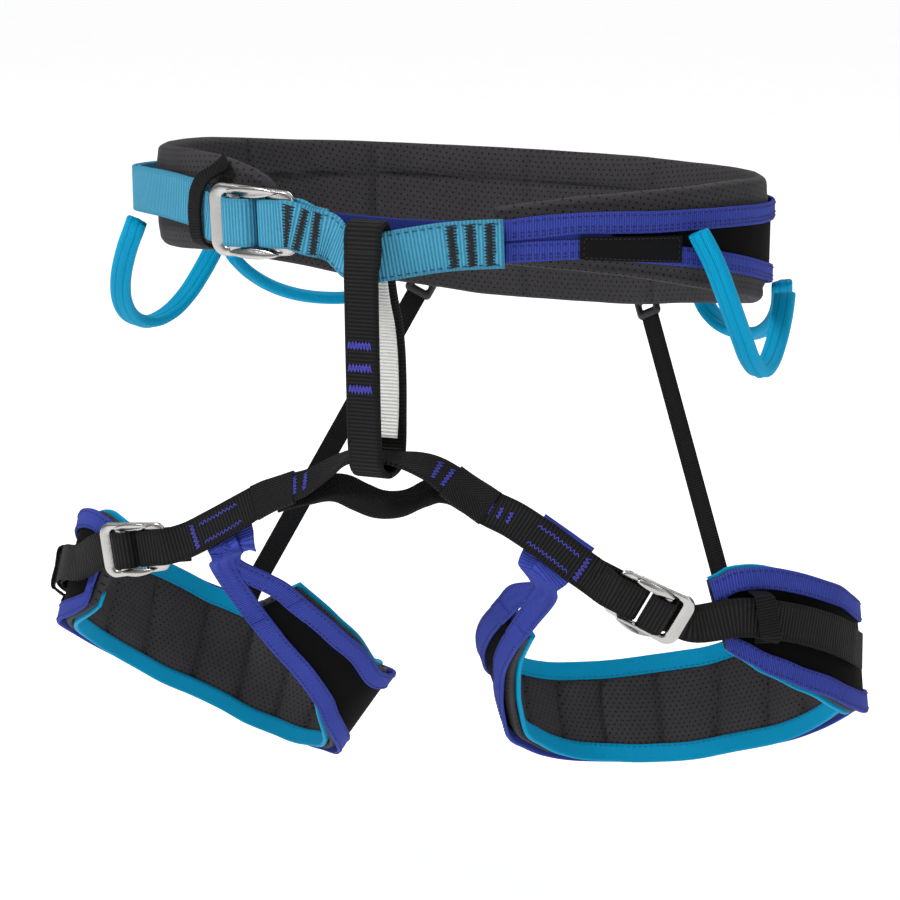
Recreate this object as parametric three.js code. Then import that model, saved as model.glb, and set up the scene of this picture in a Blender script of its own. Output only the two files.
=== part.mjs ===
// Climbing harness: padded waist belt with tie-in loops and gear loops, belay
// loop, leg bridge, two padded leg loops with slide-block buckles, and the
// elastic risers at the back. Millimetres, +Z up. The origin is the centre of
// the waist opening; the wearer's front faces -Y and the wearer's left is +X.
import * as THREE from 'three';
import { mergeVertices } from 'three/addons/utils/BufferGeometryUtils.js';

// ---------------------------------------------------------------- dimensions
const WAIST_A = 133;            // half width of the waist opening's mid surface
const WAIST_B = 104;            // half depth of the waist opening's mid surface
const PAD_T = 8;                // waist pad thickness
const LEG_PAD_T = 6;            // leg pad thickness
const TAPE_T = 1.4;             // structural tape thickness
const WEB_T = 1.8;              // tie-in webbing thickness
const WAIST_WEB = 20;           // waist strap and tie-in webbing width
const LEG_WEB = 16;             // leg strap and bridge webbing width
const BELAY_W = 16;             // belay loop width
const BELAY_T = 3.2;            // belay loop thickness, sewn plies together
const GEAR_R = 4.2;             // gear loop tube radius
const RISER_W = 10;             // elastic riser width
const WAIST_BUCKLE = { L: 43, H: 31, bar: 7.4, win: 28.6, half: 10.9, t: 3.4, slideT: 2.0 };
const LEG_BUCKLE = { L: 34, H: 24.4, bar: 6.0, win: 22.4, half: 8.8, t: 2.8, slideT: 1.6 };

// Waist belt: angle round the ellipse in degrees (0 front centre, 90 wearer's
// left, 180 back), then the heights of the belt's top and bottom edges.
const BELT = [
  [22, 25.8, 2.9], [30, 28.1, 1.2], [37, 29.8, -0.6], [45, 30.3, -3.2], [53, 30.8, -6.5],
  [63, 30.8, -11.3], [76, 30.2, -17.5], [90, 27.8, -24], [100, 25.6, -29], [110, 24.2, -34],
  [128, 21.8, -41], [143, 19.8, -46.5], [155, 19.3, -51], [169, 18.5, -53.3], [180, 18.5, -53.7],
  [191, 18.8, -53], [200, 19.3, -50.4], [211, 20.5, -46.8], [221, 21.8, -43.2], [232, 23.3, -37],
  [247, 26.5, -29.6], [260, 29.4, -23], [270, 31, -17.5], [277, 32, -14], [285, 33.2, -11],
  [300, 36, -8], [312, 38.4, -5.2], [322, 39, -2.6], [328, 38.5, -1.4], [333.5, 36.5, -0.8],
  [338, 33, -0.2], [340.5, 28.5, 1.5]];
const TAPE_UP = [
  [23.7, 21.6, 13.1], [30, 23.4, 14.2], [37, 24.2, 15.6], [44, 24.1, 14.9], [52, 23.2, 14.2],
  [62, 22.3, 13.6], [74, 20.7, 12], [84, 18.8, 10.2], [93, 17.1, 8.6], [105, 15, 6.5],
  [120, 12.5, 4], [150, 10, 1.5], [180, 9.5, 1], [210, 11.5, 3], [240, 16, 7.5], [262, 19, 10.5]];
const TAPE_LO = [
  [23.7, 12.5, 4.1], [30, 13.2, 4.8], [37, 13.3, 5.2], [44, 12, 4.0], [52, 9.6, 1.5],
  [62, 6.2, -2.1], [68, 3.5, -4.8], [75, 0, -8.1], [88, -7, -15], [100, -12.6, -20.8],
  [120, -20.6, -29], [150, -31, -39.5], [180, -36, -44.5], [210, -30, -38.5], [240, -17.5, -26], [262, -6.8, -15.2]];
const LABEL = { s0: 37, s1: 57.5, up0: 14.9, up1: 12.6, lo0: 5.6, lo1: 1.2 };

// Leg loops: angle from the outer front end, through the outer side (90), the
// back (180) and the inner side (270), to the front tab. Heights of the top
// and bottom edges are given on their own ellipses in plan.
const LEG_R = {   // wearer's right
  side: -1, top: { a: 66.5, b: 72, x: -99, y: -22 }, bot: { a: 58.5, b: 66, x: -116.7, y: -30 },
  zt: [[8, -129], [23, -126], [28, -124.5], [34, -123.6], [42, -125.4], [51, -129.5], [62, -137], [76, -147.5],
    [90, -156.5], [100, -162.9], [114, -172.8], [124, -180.1], [132, -186.4], [140, -193], [148, -198],
    [162, -206.4], [178, -215.7], [198, -221.5], [219, -222], [240, -216], [255, -210.5], [268, -203.4],
    [281, -187.1], [291, -176.6], [298, -168.2], [308, -156.9], [317, -146.4], [324, -138.4], [333, -131.4]],
  zb: [[8, -150.1], [12, -155.5], [18, -161.5], [26, -168], [33, -172.4], [45, -178.5], [58, -185.2], [70, -192],
    [84, -201], [99, -212.4], [116, -225.8], [132, -238.5], [146, -247.1], [159, -254.8], [174, -263.2],
    [194, -268.0], [204, -268.5], [213, -267], [230, -262], [245, -253], [257, -243], [266, -232],
    [271, -222.5], [279, -211.6], [290, -196.4], [299, -184.8], [307, -172.9], [314, -161.2], [319, -153.1],
    [325, -142.8], [333, -137.5]],
};
const LEG_L = {   // wearer's left
  side: 1, top: { a: 78.5, b: 72, x: 104, y: -22 }, bot: { a: 75, b: 66, x: 114.8, y: -30 },
  zt: [[10, -131], [19, -126.8], [24, -124.3], [29, -122.3], [33, -119.6], [38, -119], [42, -119.3], [47, -120.7],
    [56, -124.8], [66, -130.6], [75, -136], [84, -143], [95, -150], [108, -156], [125, -164], [143, -175.5],
    [160, -188.7], [177, -200.7], [188, -205], [199, -207.9], [209, -209.7], [219, -210], [232, -208.3],
    [241, -205.8], [251, -201.3], [265, -193.2], [278, -183], [288, -171.4], [300, -159.3], [310, -149.5],
    [319, -140.2], [327, -130.9]],
  zb: [[10, -143], [14, -144.5], [18, -146.5], [24, -150.3], [29, -154.3], [34, -158.1], [39, -162.5], [46, -166.9],
    [53, -171.9], [63, -177.9], [74, -185.8], [88, -194], [104, -200], [119, -206.5], [127, -213], [142, -225.8],
    [155, -235.5], [172, -244.5], [188, -251.4], [204, -253.7], [216, -253], [232, -249.4], [245, -243.2],
    [256, -235.5], [269, -225.3], [277, -212], [286, -198.9], [293, -186], [306, -170.2], [318, -154], [327, -139.1]],
};

// ------------------------------------------------------------------- helpers
const V = (x, y, z) => new THREE.Vector3(x, y, z);
const add = (a, b, k = 1) => V(a.x + b.x * k, a.y + b.y * k, a.z + b.z * k);
const rad = (d) => d * Math.PI / 180;

// smooth lookup in rows of [x, value, value...], cubic with finite slopes
function look(rows, x, col = 1) {
  const n = rows.length;
  let i = 0;
  while (i < n - 2 && x > rows[i + 1][0]) i++;
  const slope = (k) => {
    if (k <= 0) return (rows[1][col] - rows[0][col]) / (rows[1][0] - rows[0][0]);
    if (k >= n - 1) return (rows[n - 1][col] - rows[n - 2][col]) / (rows[n - 1][0] - rows[n - 2][0]);
    return (rows[k + 1][col] - rows[k - 1][col]) / (rows[k + 1][0] - rows[k - 1][0]);
  };
  const h = rows[i + 1][0] - rows[i][0];
  const t = Math.min(1, Math.max(0, (x - rows[i][0]) / h));
  const a = rows[i][col], b = rows[i + 1][col], m = slope(i) * h, q = slope(i + 1) * h;
  const t2 = t * t, t3 = t2 * t;
  return (2 * t3 - 3 * t2 + 1) * a + (t3 - 2 * t2 + t) * m + (-2 * t3 + 3 * t2) * b + (t3 - t2) * q;
}

// closes a deformed primitive: one set of shared vertices, faces outward
function finish(geometry) {
  let g = geometry;
  g.deleteAttribute('uv');
  g.deleteAttribute('normal');
  g = mergeVertices(g, 1e-4);
  const p = g.attributes.position, ix = g.index;
  let vol = 0;
  for (let i = 0; i < ix.count; i += 3) {
    const a = V().fromBufferAttribute(p, ix.getX(i)), b = V().fromBufferAttribute(p, ix.getX(i + 1));
    const c = V().fromBufferAttribute(p, ix.getX(i + 2));
    vol += a.dot(b.clone().cross(c));
  }
  if (vol < 0) {
    for (let i = 0; i < ix.count; i += 3) {
      const t = ix.getX(i + 1);
      ix.setX(i + 1, ix.getX(i + 2));
      ix.setX(i + 2, t);
    }
  }
  g.computeVertexNormals();
  return g;
}

// a box bent to f(u, v, k): u along the piece, v across it, k through it
function stripGeometry(n, nv, f) {
  const g = new THREE.BoxGeometry(1, 1, 1, n, nv, 1);
  const p = g.attributes.position;
  for (let i = 0; i < p.count; i++) {
    const q = f(p.getX(i) + 0.5, p.getY(i) + 0.5, p.getZ(i) + 0.5);
    p.setXYZ(i, q.x, q.y, q.z);
  }
  return finish(g);
}

// a ring of square section bent to f(u, side, face), u from 0 to 1 round it
function ringGeometry(n, f) {
  const g = new THREE.TorusGeometry(10, 2, 4, n);
  const p = g.attributes.position;
  const sides = [[1, 1], [-1, 1], [-1, -1], [1, -1]];
  for (let j = 0; j <= 4; j++) {
    for (let i = 0; i <= n; i++) {
      const [side, face] = sides[j % 4];
      const q = f((i % n) / n, side, face);
      p.setXYZ(j * (n + 1) + i, q.x, q.y, q.z);
    }
  }
  return finish(g);
}

// belt-like band: P(s, w, o) with w = 0 at the bottom edge, 1 at the top edge,
// and o the distance out from the middle of the padding
function makeBand(edgeTop, edgeBottom) {
  const at = (s, w) => edgeBottom(s).lerp(edgeTop(s), w);
  const normal = (s) => {
    const t = at(s + 0.5, 0.5).sub(at(s - 0.5, 0.5));
    const h = edgeTop(s).sub(edgeBottom(s));
    const n = t.cross(h).normalize();
    return n;
  };
  const centre = at(180, 0.5).add(at(60, 0.5)).multiplyScalar(0.5);
  const flip = normal(180).dot(at(180, 0.5).sub(centre)) < 0 ? -1 : 1;
  return {
    at, edgeTop, edgeBottom,
    height: (s) => edgeTop(s).distanceTo(edgeBottom(s)),
    normal: (s) => normal(s).multiplyScalar(flip),
    P(s, w, o) { return add(at(s, w), normal(s), o * flip); },
  };
}
// angles from s0 to s1: both ends, and every multiple of step between them, so
// that layers of one belt are faceted alike
function angles(s0, s1, step) {
  const list = [s0];
  for (let s = Math.ceil(s0 / step + 0.25) * step; s < s1 - step * 0.25; s += step) list.push(s);
  list.push(s1);
  return list;
}
function bandStrip(band, s0, s1, step, lo, hi, o0, o1, nv = 1) {
  const a = angles(s0, s1, step), n = a.length - 1;
  return stripGeometry(n, nv, (u, v, k) => {
    const s = a[Math.round(u * n)];
    const w0 = lo(s), w1 = hi(s);
    return band.P(s, w0 + (w1 - w0) * v, o0 + (o1 - o0) * k);
  });
}

// ribbon through control rows [centre, width direction], sampled k times a span
function ribbonFrames(rows, k, closed = false) {
  const c = new THREE.CatmullRomCurve3(rows.map((r) => r[0]), closed, 'centripetal');
  const w = new THREE.CatmullRomCurve3(rows.map((r) => r[1]), closed, 'catmullrom', 0.5);
  const n = (closed ? rows.length : rows.length - 1) * k;
  const frames = [];
  for (let i = 0; i <= n; i++) {
    if (closed && i === n) break;
    const t = i / n;
    const tan = c.getTangent(t);
    const wd = w.getPoint(t);
    wd.addScaledVector(tan, -wd.dot(tan)).normalize();
    frames.push({ p: c.getPoint(t), w: wd, n: tan.clone().cross(wd).normalize(), t: tan });
  }
  return frames;
}
function ribbonGeometry(rows, width, thick, k = 2, nv = 1, shift = 0) {
  const fr = ribbonFrames(rows, k);
  return stripGeometry(fr.length - 1, nv, (u, v, kk) => {
    const f = fr[Math.round(u * (fr.length - 1))];
    return add(add(f.p, f.w, (v - 0.5) * width), f.n, (kk - 0.5) * thick + shift);
  });
}
function ringRibbon(rows, width, thick, k = 2) {
  const fr = ribbonFrames(rows, k, true);
  return ringGeometry(fr.length, (u, side, face) => {
    const f = fr[Math.round(u * fr.length) % fr.length];
    return add(add(f.p, f.w, side * width / 2), f.n, face * thick / 2);
  });
}
function tubeGeometry(points, radius, steps, sides = 8) {
  const shape = new THREE.Shape();
  for (let i = 0; i < sides; i++) {
    const a = (i / sides) * Math.PI * 2;
    if (i === 0) shape.moveTo(radius * Math.cos(a), radius * Math.sin(a));
    else shape.lineTo(radius * Math.cos(a), radius * Math.sin(a));
  }
  const path = new THREE.CatmullRomCurve3(points, false, 'centripetal');
  return finish(new THREE.ExtrudeGeometry(shape, { steps, bevelEnabled: false, extrudePath: path }));
}
function localFrame(origin, u, v) {
  const uu = u.clone().normalize();
  const vv = v.clone().addScaledVector(uu, -v.dot(uu)).normalize();
  const nn = uu.clone().cross(vv).normalize();
  if (nn.y > 0) nn.negate();
  return {
    u: uu, v: vv, n: nn,
    P: (a, b, o) => add(add(add(origin, uu, a), vv, b), nn, o),
  };
}
// extrudes a plan shape drawn in (u, v) from height o0 to o1 in a local frame
function plate(frame, shape, o0, o1, curveSegments = 5) {
  const g = new THREE.ExtrudeGeometry(shape, { depth: o1 - o0, bevelEnabled: false, curveSegments });
  const p = g.attributes.position;
  for (let i = 0; i < p.count; i++) {
    const q = frame.P(p.getX(i), p.getY(i), o0 + p.getZ(i));
    p.setXYZ(i, q.x, q.y, q.z);
  }
  return finish(g);
}
function roundedRect(path, x0, y0, x1, y1, r) {
  path.moveTo(x0 + r, y0);
  path.lineTo(x1 - r, y0);
  path.quadraticCurveTo(x1, y0, x1, y0 + r);
  path.lineTo(x1, y1 - r);
  path.quadraticCurveTo(x1, y1, x1 - r, y1);
  path.lineTo(x0 + r, y1);
  path.quadraticCurveTo(x0, y1, x0, y1 - r);
  path.lineTo(x0, y0 + r);
  path.quadraticCurveTo(x0, y0, x0 + r, y0);
  return path;
}

const harness = new THREE.Group();
const COLORS = {
  foam: [0x3a3a3e, 0.9, 0], fabric: [0x141416, 0.85, 0], indigo: [0x3d43b4, 0.75, 0],
  cyan: [0x55b0da, 0.75, 0], gear: [0x0598c8, 0.55, 0], teal: [0x0785ad, 0.7, 0],
  black: [0x17171a, 0.8, 0], white: [0xe4e4e0, 0.8, 0], steel: [0xc4c0ba, 0.28, 1], plastic: [0x101012, 0.45, 0],
};
function part(name, geometry, kind) {
  const [color, roughness, metalness] = COLORS[kind];
  const mesh = new THREE.Mesh(geometry, new THREE.MeshStandardMaterial({ color, roughness, metalness }));
  mesh.name = name;
  harness.add(mesh);
  return mesh;
}

// ---------------------------------------------------------------- waist belt
const beltPoint = (s, col) => V(WAIST_A * Math.sin(rad(s)), -WAIST_B * Math.cos(rad(s)), look(BELT, s, col));
const belt = makeBand((s) => beltPoint(s, 1), (s) => beltPoint(s, 2));
const beltW = (z) => (s) => {            // height z(s) as a fraction of the belt
  const zb = look(BELT, s, 2), zt = look(BELT, s, 1);
  return (z(s) - zb) / (zt - zb);
};
// belt shell point straight out from the ellipse at height z
const shell = (s, z, o) => {
  const n = V(Math.sin(rad(s)) / WAIST_A, -Math.cos(rad(s)) / WAIST_B, 0).normalize();
  return add(V(WAIST_A * Math.sin(rad(s)), -WAIST_B * Math.cos(rad(s)), z), n, o);
};
function shellStrip(s0, s1, step, lo, hi, o0, o1, nv = 1) {
  const a = angles(s0, s1, step), n = a.length - 1;
  return stripGeometry(n, nv, (u, v, k) => {
    const s = a[Math.round(u * n)];
    const z0 = lo(s), z1 = hi(s);
    return shell(s, z0 + (z1 - z0) * v, o0 + (o1 - o0) * k);
  });
}
const PAD_O = PAD_T / 2;
part('waist_pad', shellStrip(22, 340.5, 5, (s) => look(BELT, s, 2), (s) => look(BELT, s, 1), -PAD_O, PAD_O, 2), 'foam');
part('waist_outer_panel', shellStrip(44, 262, 5, (s) => look(TAPE_LO, s, 1) - 4, (s) => look(TAPE_UP, s, 2) + 4, PAD_O + 0.4, PAD_O + 1.2), 'fabric');
part('waist_tape_upper', shellStrip(23.7, 262, 5, (s) => look(TAPE_UP, s, 2), (s) => look(TAPE_UP, s, 1), PAD_O + 1.6, PAD_O + 1.6 + TAPE_T), 'indigo');
part('waist_tape_lower', shellStrip(23.7, 262, 5, (s) => look(TAPE_LO, s, 2), (s) => look(TAPE_LO, s, 1), PAD_O + 1.6, PAD_O + 1.6 + TAPE_T), 'indigo');
{
  const f = (a, b) => (s) => a + (b - a) * (s - LABEL.s0) / (LABEL.s1 - LABEL.s0);
  part('waist_label', shellStrip(LABEL.s0, LABEL.s1, 5, f(LABEL.lo0, LABEL.lo1), f(LABEL.up0, LABEL.up1), PAD_O + 3.4, PAD_O + 4.2), 'black');
}

// --------------------------------------------------- buckles, frame and slide
function buckleParts(name, frame, d) {
  const h = d.H / 2;
  const outer = roundedRect(new THREE.Shape(), 0, -h, d.L, h, d.bar * 0.9);
  outer.holes.push(roundedRect(new THREE.Path(), d.bar, -d.half, d.win, d.half, 1.2));
  part(`${name}_frame`, plate(frame, outer, 0, d.t), 'steel');
  // slide block: a bar across the window with a long ear on each rail
  const bar0 = d.bar + 4.6, bar1 = bar0 + (d.L > 40 ? 6 : 4.6);
  const e0 = bar0 - 0.6, e1 = d.L - 7, r = 1.6;
  const s = new THREE.Shape();
  const inner = d.half - 0.2, out = h - 0.5;
  s.moveTo(e0, -out + r); s.quadraticCurveTo(e0, -out, e0 + r, -out);
  s.lineTo(e1 - r, -out); s.quadraticCurveTo(e1, -out, e1, -out + r); s.lineTo(e1 - 1, -inner);
  s.lineTo(bar1, -inner); s.lineTo(bar1, inner); s.lineTo(e1 - 1, inner);
  s.lineTo(e1, out - r); s.quadraticCurveTo(e1, out, e1 - r, out);
  s.lineTo(e0 + r, out); s.quadraticCurveTo(e0, out, e0, out - r);
  part(`${name}_slide`, plate(frame, s, d.t + 0.4, d.t + 0.4 + d.slideT, 3), 'steel');
}

// Waist buckle: u runs from the strap side to the tie-in side.
const wb = localFrame(V(-71.8, -101.0, 14.9), V(0.975, -0.215, 0.04), V(0, 0, 1));
buckleParts('waist_buckle', wb, WAIST_BUCKLE);
const wbRow = (u, o) => [wb.P(u, 0, o), wb.v.clone()];

// Tie-in webbing: folded round the buckle's fixed end, runs through the belay
// loop, and is sewn over the end of the two waist tapes.
const up = V(0, 0, 1);
part('tie_in_front', ribbonGeometry([
  wbRow(52, -1.6), wbRow(44, -1.5), wbRow(36, -1.4), wbRow(30.2, -1.5), wbRow(27.2, -0.8), wbRow(26.2, 1.7), wbRow(27.2, 4.2),
  wbRow(30.2, 5.0), wbRow(36, 4.9), wbRow(42, 4.6),
  [V(-22.8, -114.6, 14.4), up], [V(-16.4, -114.2, 13.4), up], [V(-12.6, -114.8, 12), up], [V(-8.9, -116.6, 9.7), up],
  [V(-4.4, -119, 7.2), up], [V(2.9, -120.2, 6.2), up], [V(10, -119.6, 7), up],
  [V(20.7, -115.6, 8.9), up], [V(33.2, -111.4, 11), up], [V(45.4, -108, 12.2), up], [V(56.8, -104.3, 12.7), up],
], WAIST_WEB, WEB_T, 2), 'cyan');
part('tie_in_rear', ribbonGeometry([
  [V(54.2, -102.3, 12.6), up], [V(45, -103, 11.4), up], [V(20, -103.9, 10.6), up], [V(-5, -104.7, 11), up], [V(-30, -105.4, 12.4), up],
], WAIST_WEB - 1, TAPE_T, 2), 'indigo');

// Waist strap: sewn to the end of the tapes at the wearer's right, runs forward
// under the buckle frame, over the slide bar, and back as the free tail.
const strapZ = (t) => look([[-108, 8.2], [-98, 9.3], [-90, 10.5], [-80, 12.5], [-70, 14.8], [-60, 17], [-50, 18.4], [-41, 18.6], [-33, 17.6]], t);
const strapRow = (t, o) => [shell(360 + t, strapZ(t), o), up];
part('waist_strap', ribbonGeometry([
  strapRow(-108, 8.4), strapRow(-100, 8.3), strapRow(-90, 9.4), strapRow(-80, 11.2), strapRow(-70, 12), strapRow(-60, 9.4),
  strapRow(-50, 6.8), strapRow(-41, 6.4), strapRow(-35, 7.0),
  wbRow(-3, -3.6), wbRow(6, -3.4), wbRow(14, -3.4), wbRow(19.4, -3.3), wbRow(22.4, -1.5), wbRow(23.3, 2.0), wbRow(22.8, 5.3),
  wbRow(20.8, 7.2), wbRow(16, 7.6), wbRow(12, 7.5), wbRow(9.8, 5.8), wbRow(9.3, 2.4), wbRow(8.4, -0.6),
  wbRow(5.2, -1.7), wbRow(-3, -1.7),
  strapRow(-35, 9.1), strapRow(-41, 8.6), strapRow(-50, 9.0), strapRow(-60, 11.6), strapRow(-70, 14.2), strapRow(-80, 13.4),
  strapRow(-90, 11.6), strapRow(-97, 10.6),
], WAIST_WEB, 1.5, 2), 'cyan');

// Elastic keeper over the strap and its tail.
{
  const path = [[-30.8, 36.6, 6.4], [-31.6, 33.6, 6.6], [-32.8, 31.6, 9.4], [-33.8, 30, 12], [-34.8, 25, 12.6], [-35.2, 18, 12.7],
    [-35, 12, 12.7], [-34.6, 5.6, 12.6], [-34.2, 2.2, 11.2], [-33.4, 0.6, 7.8], [-32.8, -1, 6.4]];
  part('waist_strap_keeper', ribbonGeometry(path.map(([t, z, o]) => {
    const p = shell(360 + t - 2, z, o), q = shell(360 + t + 2, z, o);
    return [shell(360 + t, z, o), q.sub(p).normalize()];
  }), 12, 1.3, 1), 'black');
}

// --------------------------------------------------------------- gear loops
const gear = (name, pts) => part(name, tubeGeometry(pts.map((p) => V(...p)), GEAR_R, 22), 'gear');
gear('gear_loop_front_left', [[124.6, -60.5, 14], [130.5, -58, 2], [135.6, -52, -14.6], [138.8, -42, -31], [140.5, -30, -44.5], [141.9, -18, -51.5],
  [142.6, -6, -50.5], [142.9, 6, -44], [142.6, 17, -35], [141.6, 26, -27]]);
gear('gear_loop_rear_left', [[135.8, 45, -26], [133.6, 54, -38], [127.5, 66, -49], [118, 78, -56.6], [106.5, 89, -59.6], [95.5, 97.5, -58],
  [88, 101.5, -52.5], [83.6, 102.5, -45]]);
gear('gear_loop_front_right', [[-133.8, -50, -1], [-140.2, -45, -12], [-148.4, -36, -27.5], [-153.8, -25, -41], [-155.8, -12, -51], [-153.6, 2, -56],
  [-149.8, 15, -54], [-146, 26, -47.5], [-142.6, 35, -38.5], [-138.4, 41, -28]]);
gear('gear_loop_rear_right', [[-134.3, 52, -32.5], [-129.5, 61, -42], [-122.5, 71, -50], [-113.5, 81, -55.5], [-103, 90.5, -58.4], [-92, 98, -58.6],
  [-83.5, 102.6, -55], [-78, 104.6, -48.5]]);

// Haul loop: a small webbing loop standing off the back of the belt.
part('haul_loop', ringRibbon([
  [V(0, 113.2, 6), V(1, 0, 0)], [V(0, 115.5, 9), V(1, 0, 0)], [V(0, 119.5, 8), V(1, 0, 0)], [V(0, 123.5, 0), V(1, 0, 0)],
  [V(0, 125.5, -14), V(1, 0, 0)], [V(0, 124.5, -28), V(1, 0, 0)], [V(0, 120, -35.5), V(1, 0, 0)], [V(0, 115.5, -36.5), V(1, 0, 0)],
  [V(0, 113.2, -33), V(1, 0, 0)], [V(0, 113.2, -22), V(1, 0, 0)], [V(0, 113.2, -8), V(1, 0, 0)],
], 12, 1.6, 2), 'black');

// --------------------------------------------------------------- belay loop
const BX = 5.4;                 // belay loop centre line in X
const xdir = V(1, 0, 0);
const belayPath = [[-125.6, 10], [-125.4, 15.2], [-123.6, 18.8], [-120, 20.4], [-116.6, 19.2], [-114, 15.4], [-112.6, 8], [-111.4, -2], [-108.4, -12],
  [-104, -22], [-101.4, -34], [-100.6, -48], [-101.2, -62], [-102, -73], [-103.8, -79.4], [-108, -82.8], [-114, -83.6],
  [-120, -82.8], [-124, -79.4], [-125.6, -72], [-126, -60], [-126, -46], [-126, -28], [-125.8, -10]];
const belayX = (z) => BX - 0.6 + (10 - z) * 0.014;
part('belay_loop', ringRibbon(belayPath.map(([y, z]) => [V(belayX(z), y, z), xdir]), BELAY_W, BELAY_T, 2), 'black');
// liner: a white ply on the inside of the rear strand
part('belay_loop_liner', ribbonGeometry([[-114.9, 7], [-113.8, -2.6], [-110.8, -13], [-106.5, -23], [-104, -34.4], [-103.2, -48], [-104, -61.4], [-106, -71]]
  .map(([y, z]) => [V(belayX(z) - 1.2, y, z), xdir]), 12, 1.0, 2), 'white');

// ----------------------------------------------------------------- leg bridge
// The upper strand passes through the bottom of the belay loop; the lower
// strand is sewn behind it at both ends and leaves the tie-in gap between.
const bridgeRows = [
  [V(-42.2, -108.2, -99.1), V(0, 0.68, 0.73)], [V(-35, -108, -96), V(-0.38, 0.7, 0.6)], [V(-28.2, -108, -92.9), V(-0.32, 0.8, 0.5)],
  [V(-15.5, -110, -84.4), V(-0.25, 0.92, 0.32)], [V(-5.2, -113, -78.6), V(-0.08, 0.99, 0.1)], [V(5.4, -113.7, -77.2), V(0, 1, 0.02)],
  [V(16, -113, -77.8), V(0.08, 0.99, 0.1)], [V(27.8, -109, -81.6), V(0.22, 0.88, 0.4)], [V(35.3, -108, -86), V(0.32, 0.75, 0.56)],
  [V(43.4, -107.2, -91.4), V(0, 0.68, 0.73)],
];
part('bridge_upper', ribbonGeometry(bridgeRows, LEG_WEB - 0.6, 2.0, 2), 'black');
part('bridge_lower', ribbonGeometry([
  [V(-42.6, -105.2, -101.6), V(-0.42, 0.6, 0.68)], [V(-35.6, -105.2, -99.4), V(-0.38, 0.7, 0.6)], [V(-28, -105.6, -97.4), V(-0.3, 0.76, 0.56)],
  [V(-18, -107.2, -94.4), V(-0.16, 0.8, 0.6)], [V(-12, -108, -94.2), V(0, 0.8, 0.62)], [V(-4, -109, -96.6), V(0.06, 0.8, 0.6)],
  [V(5, -109.4, -98.8), V(0, 0.8, 0.6)], [V(15, -109, -97.6), V(-0.06, 0.8, 0.6)], [V(24, -107.6, -93), V(-0.02, 0.78, 0.62)],
  [V(30, -105.6, -90.8), V(0.1, 0.78, 0.6)], [V(36.6, -104.4, -91.2), V(0.3, 0.72, 0.6)], [V(43.6, -104, -94.2), V(0.4, 0.58, 0.68)],
], LEG_WEB - 0.5, 1.7, 2), 'black');

// ------------------------------------------------------------------ leg loops
function legBand(L) {
  const e = (q, z) => (s) => V(q.x + L.side * q.a * Math.sin(rad(s)), q.y - q.b * Math.cos(rad(s)), look(z, s));
  return makeBand(e(L.top, L.zt), e(L.bot, L.zb));
}
function legLoop(side, L, s0, sTape, s1, sPad1) {
  const band = legBand(L);
  const h = LEG_PAD_T / 2;
  const full0 = () => 0, full1 = () => 1;
  const mm = (d) => (s) => Math.min(0.42, d / band.height(s));
  const inv = (f) => (s) => 1 - f(s);
  const tw = mm(9.2);
  const st = 7;
  part(`leg_pad_${side}`, bandStrip(band, s0, sPad1, st, () => 0.01, () => 0.99, -h, h, 4), 'foam');
  part(`leg_outer_${side}`, bandStrip(band, s0, sPad1, st, () => 0.13, () => 0.87, h + 0.6, h + 1.2, 3), 'fabric');
  part(`leg_tape_upper_${side}`, bandStrip(band, sTape, s1, st, inv(tw), full1, h + 1.75, h + 1.75 + TAPE_T), 'indigo');
  part(`leg_tape_lower_${side}`, bandStrip(band, sTape, s1, st, full0, tw, h + 1.75, h + 1.75 + TAPE_T), 'indigo');
  const bw = mm(8.4);
  part(`leg_binding_upper_${side}`, bandStrip(band, s0 + 2, sPad1 - 2, st, inv(bw), full1, -h - 1.6, -h - 0.6), 'teal');
  part(`leg_binding_lower_${side}`, bandStrip(band, s0 + 2, sPad1 - 2, st, full0, bw, -h - 1.6, -h - 0.6), 'teal');
  return band;
}
const bandR = legLoop('right', LEG_R, 22, 22, 333, 320);
const bandL = legLoop('left', LEG_L, 26, 31, 327, 315);

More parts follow.
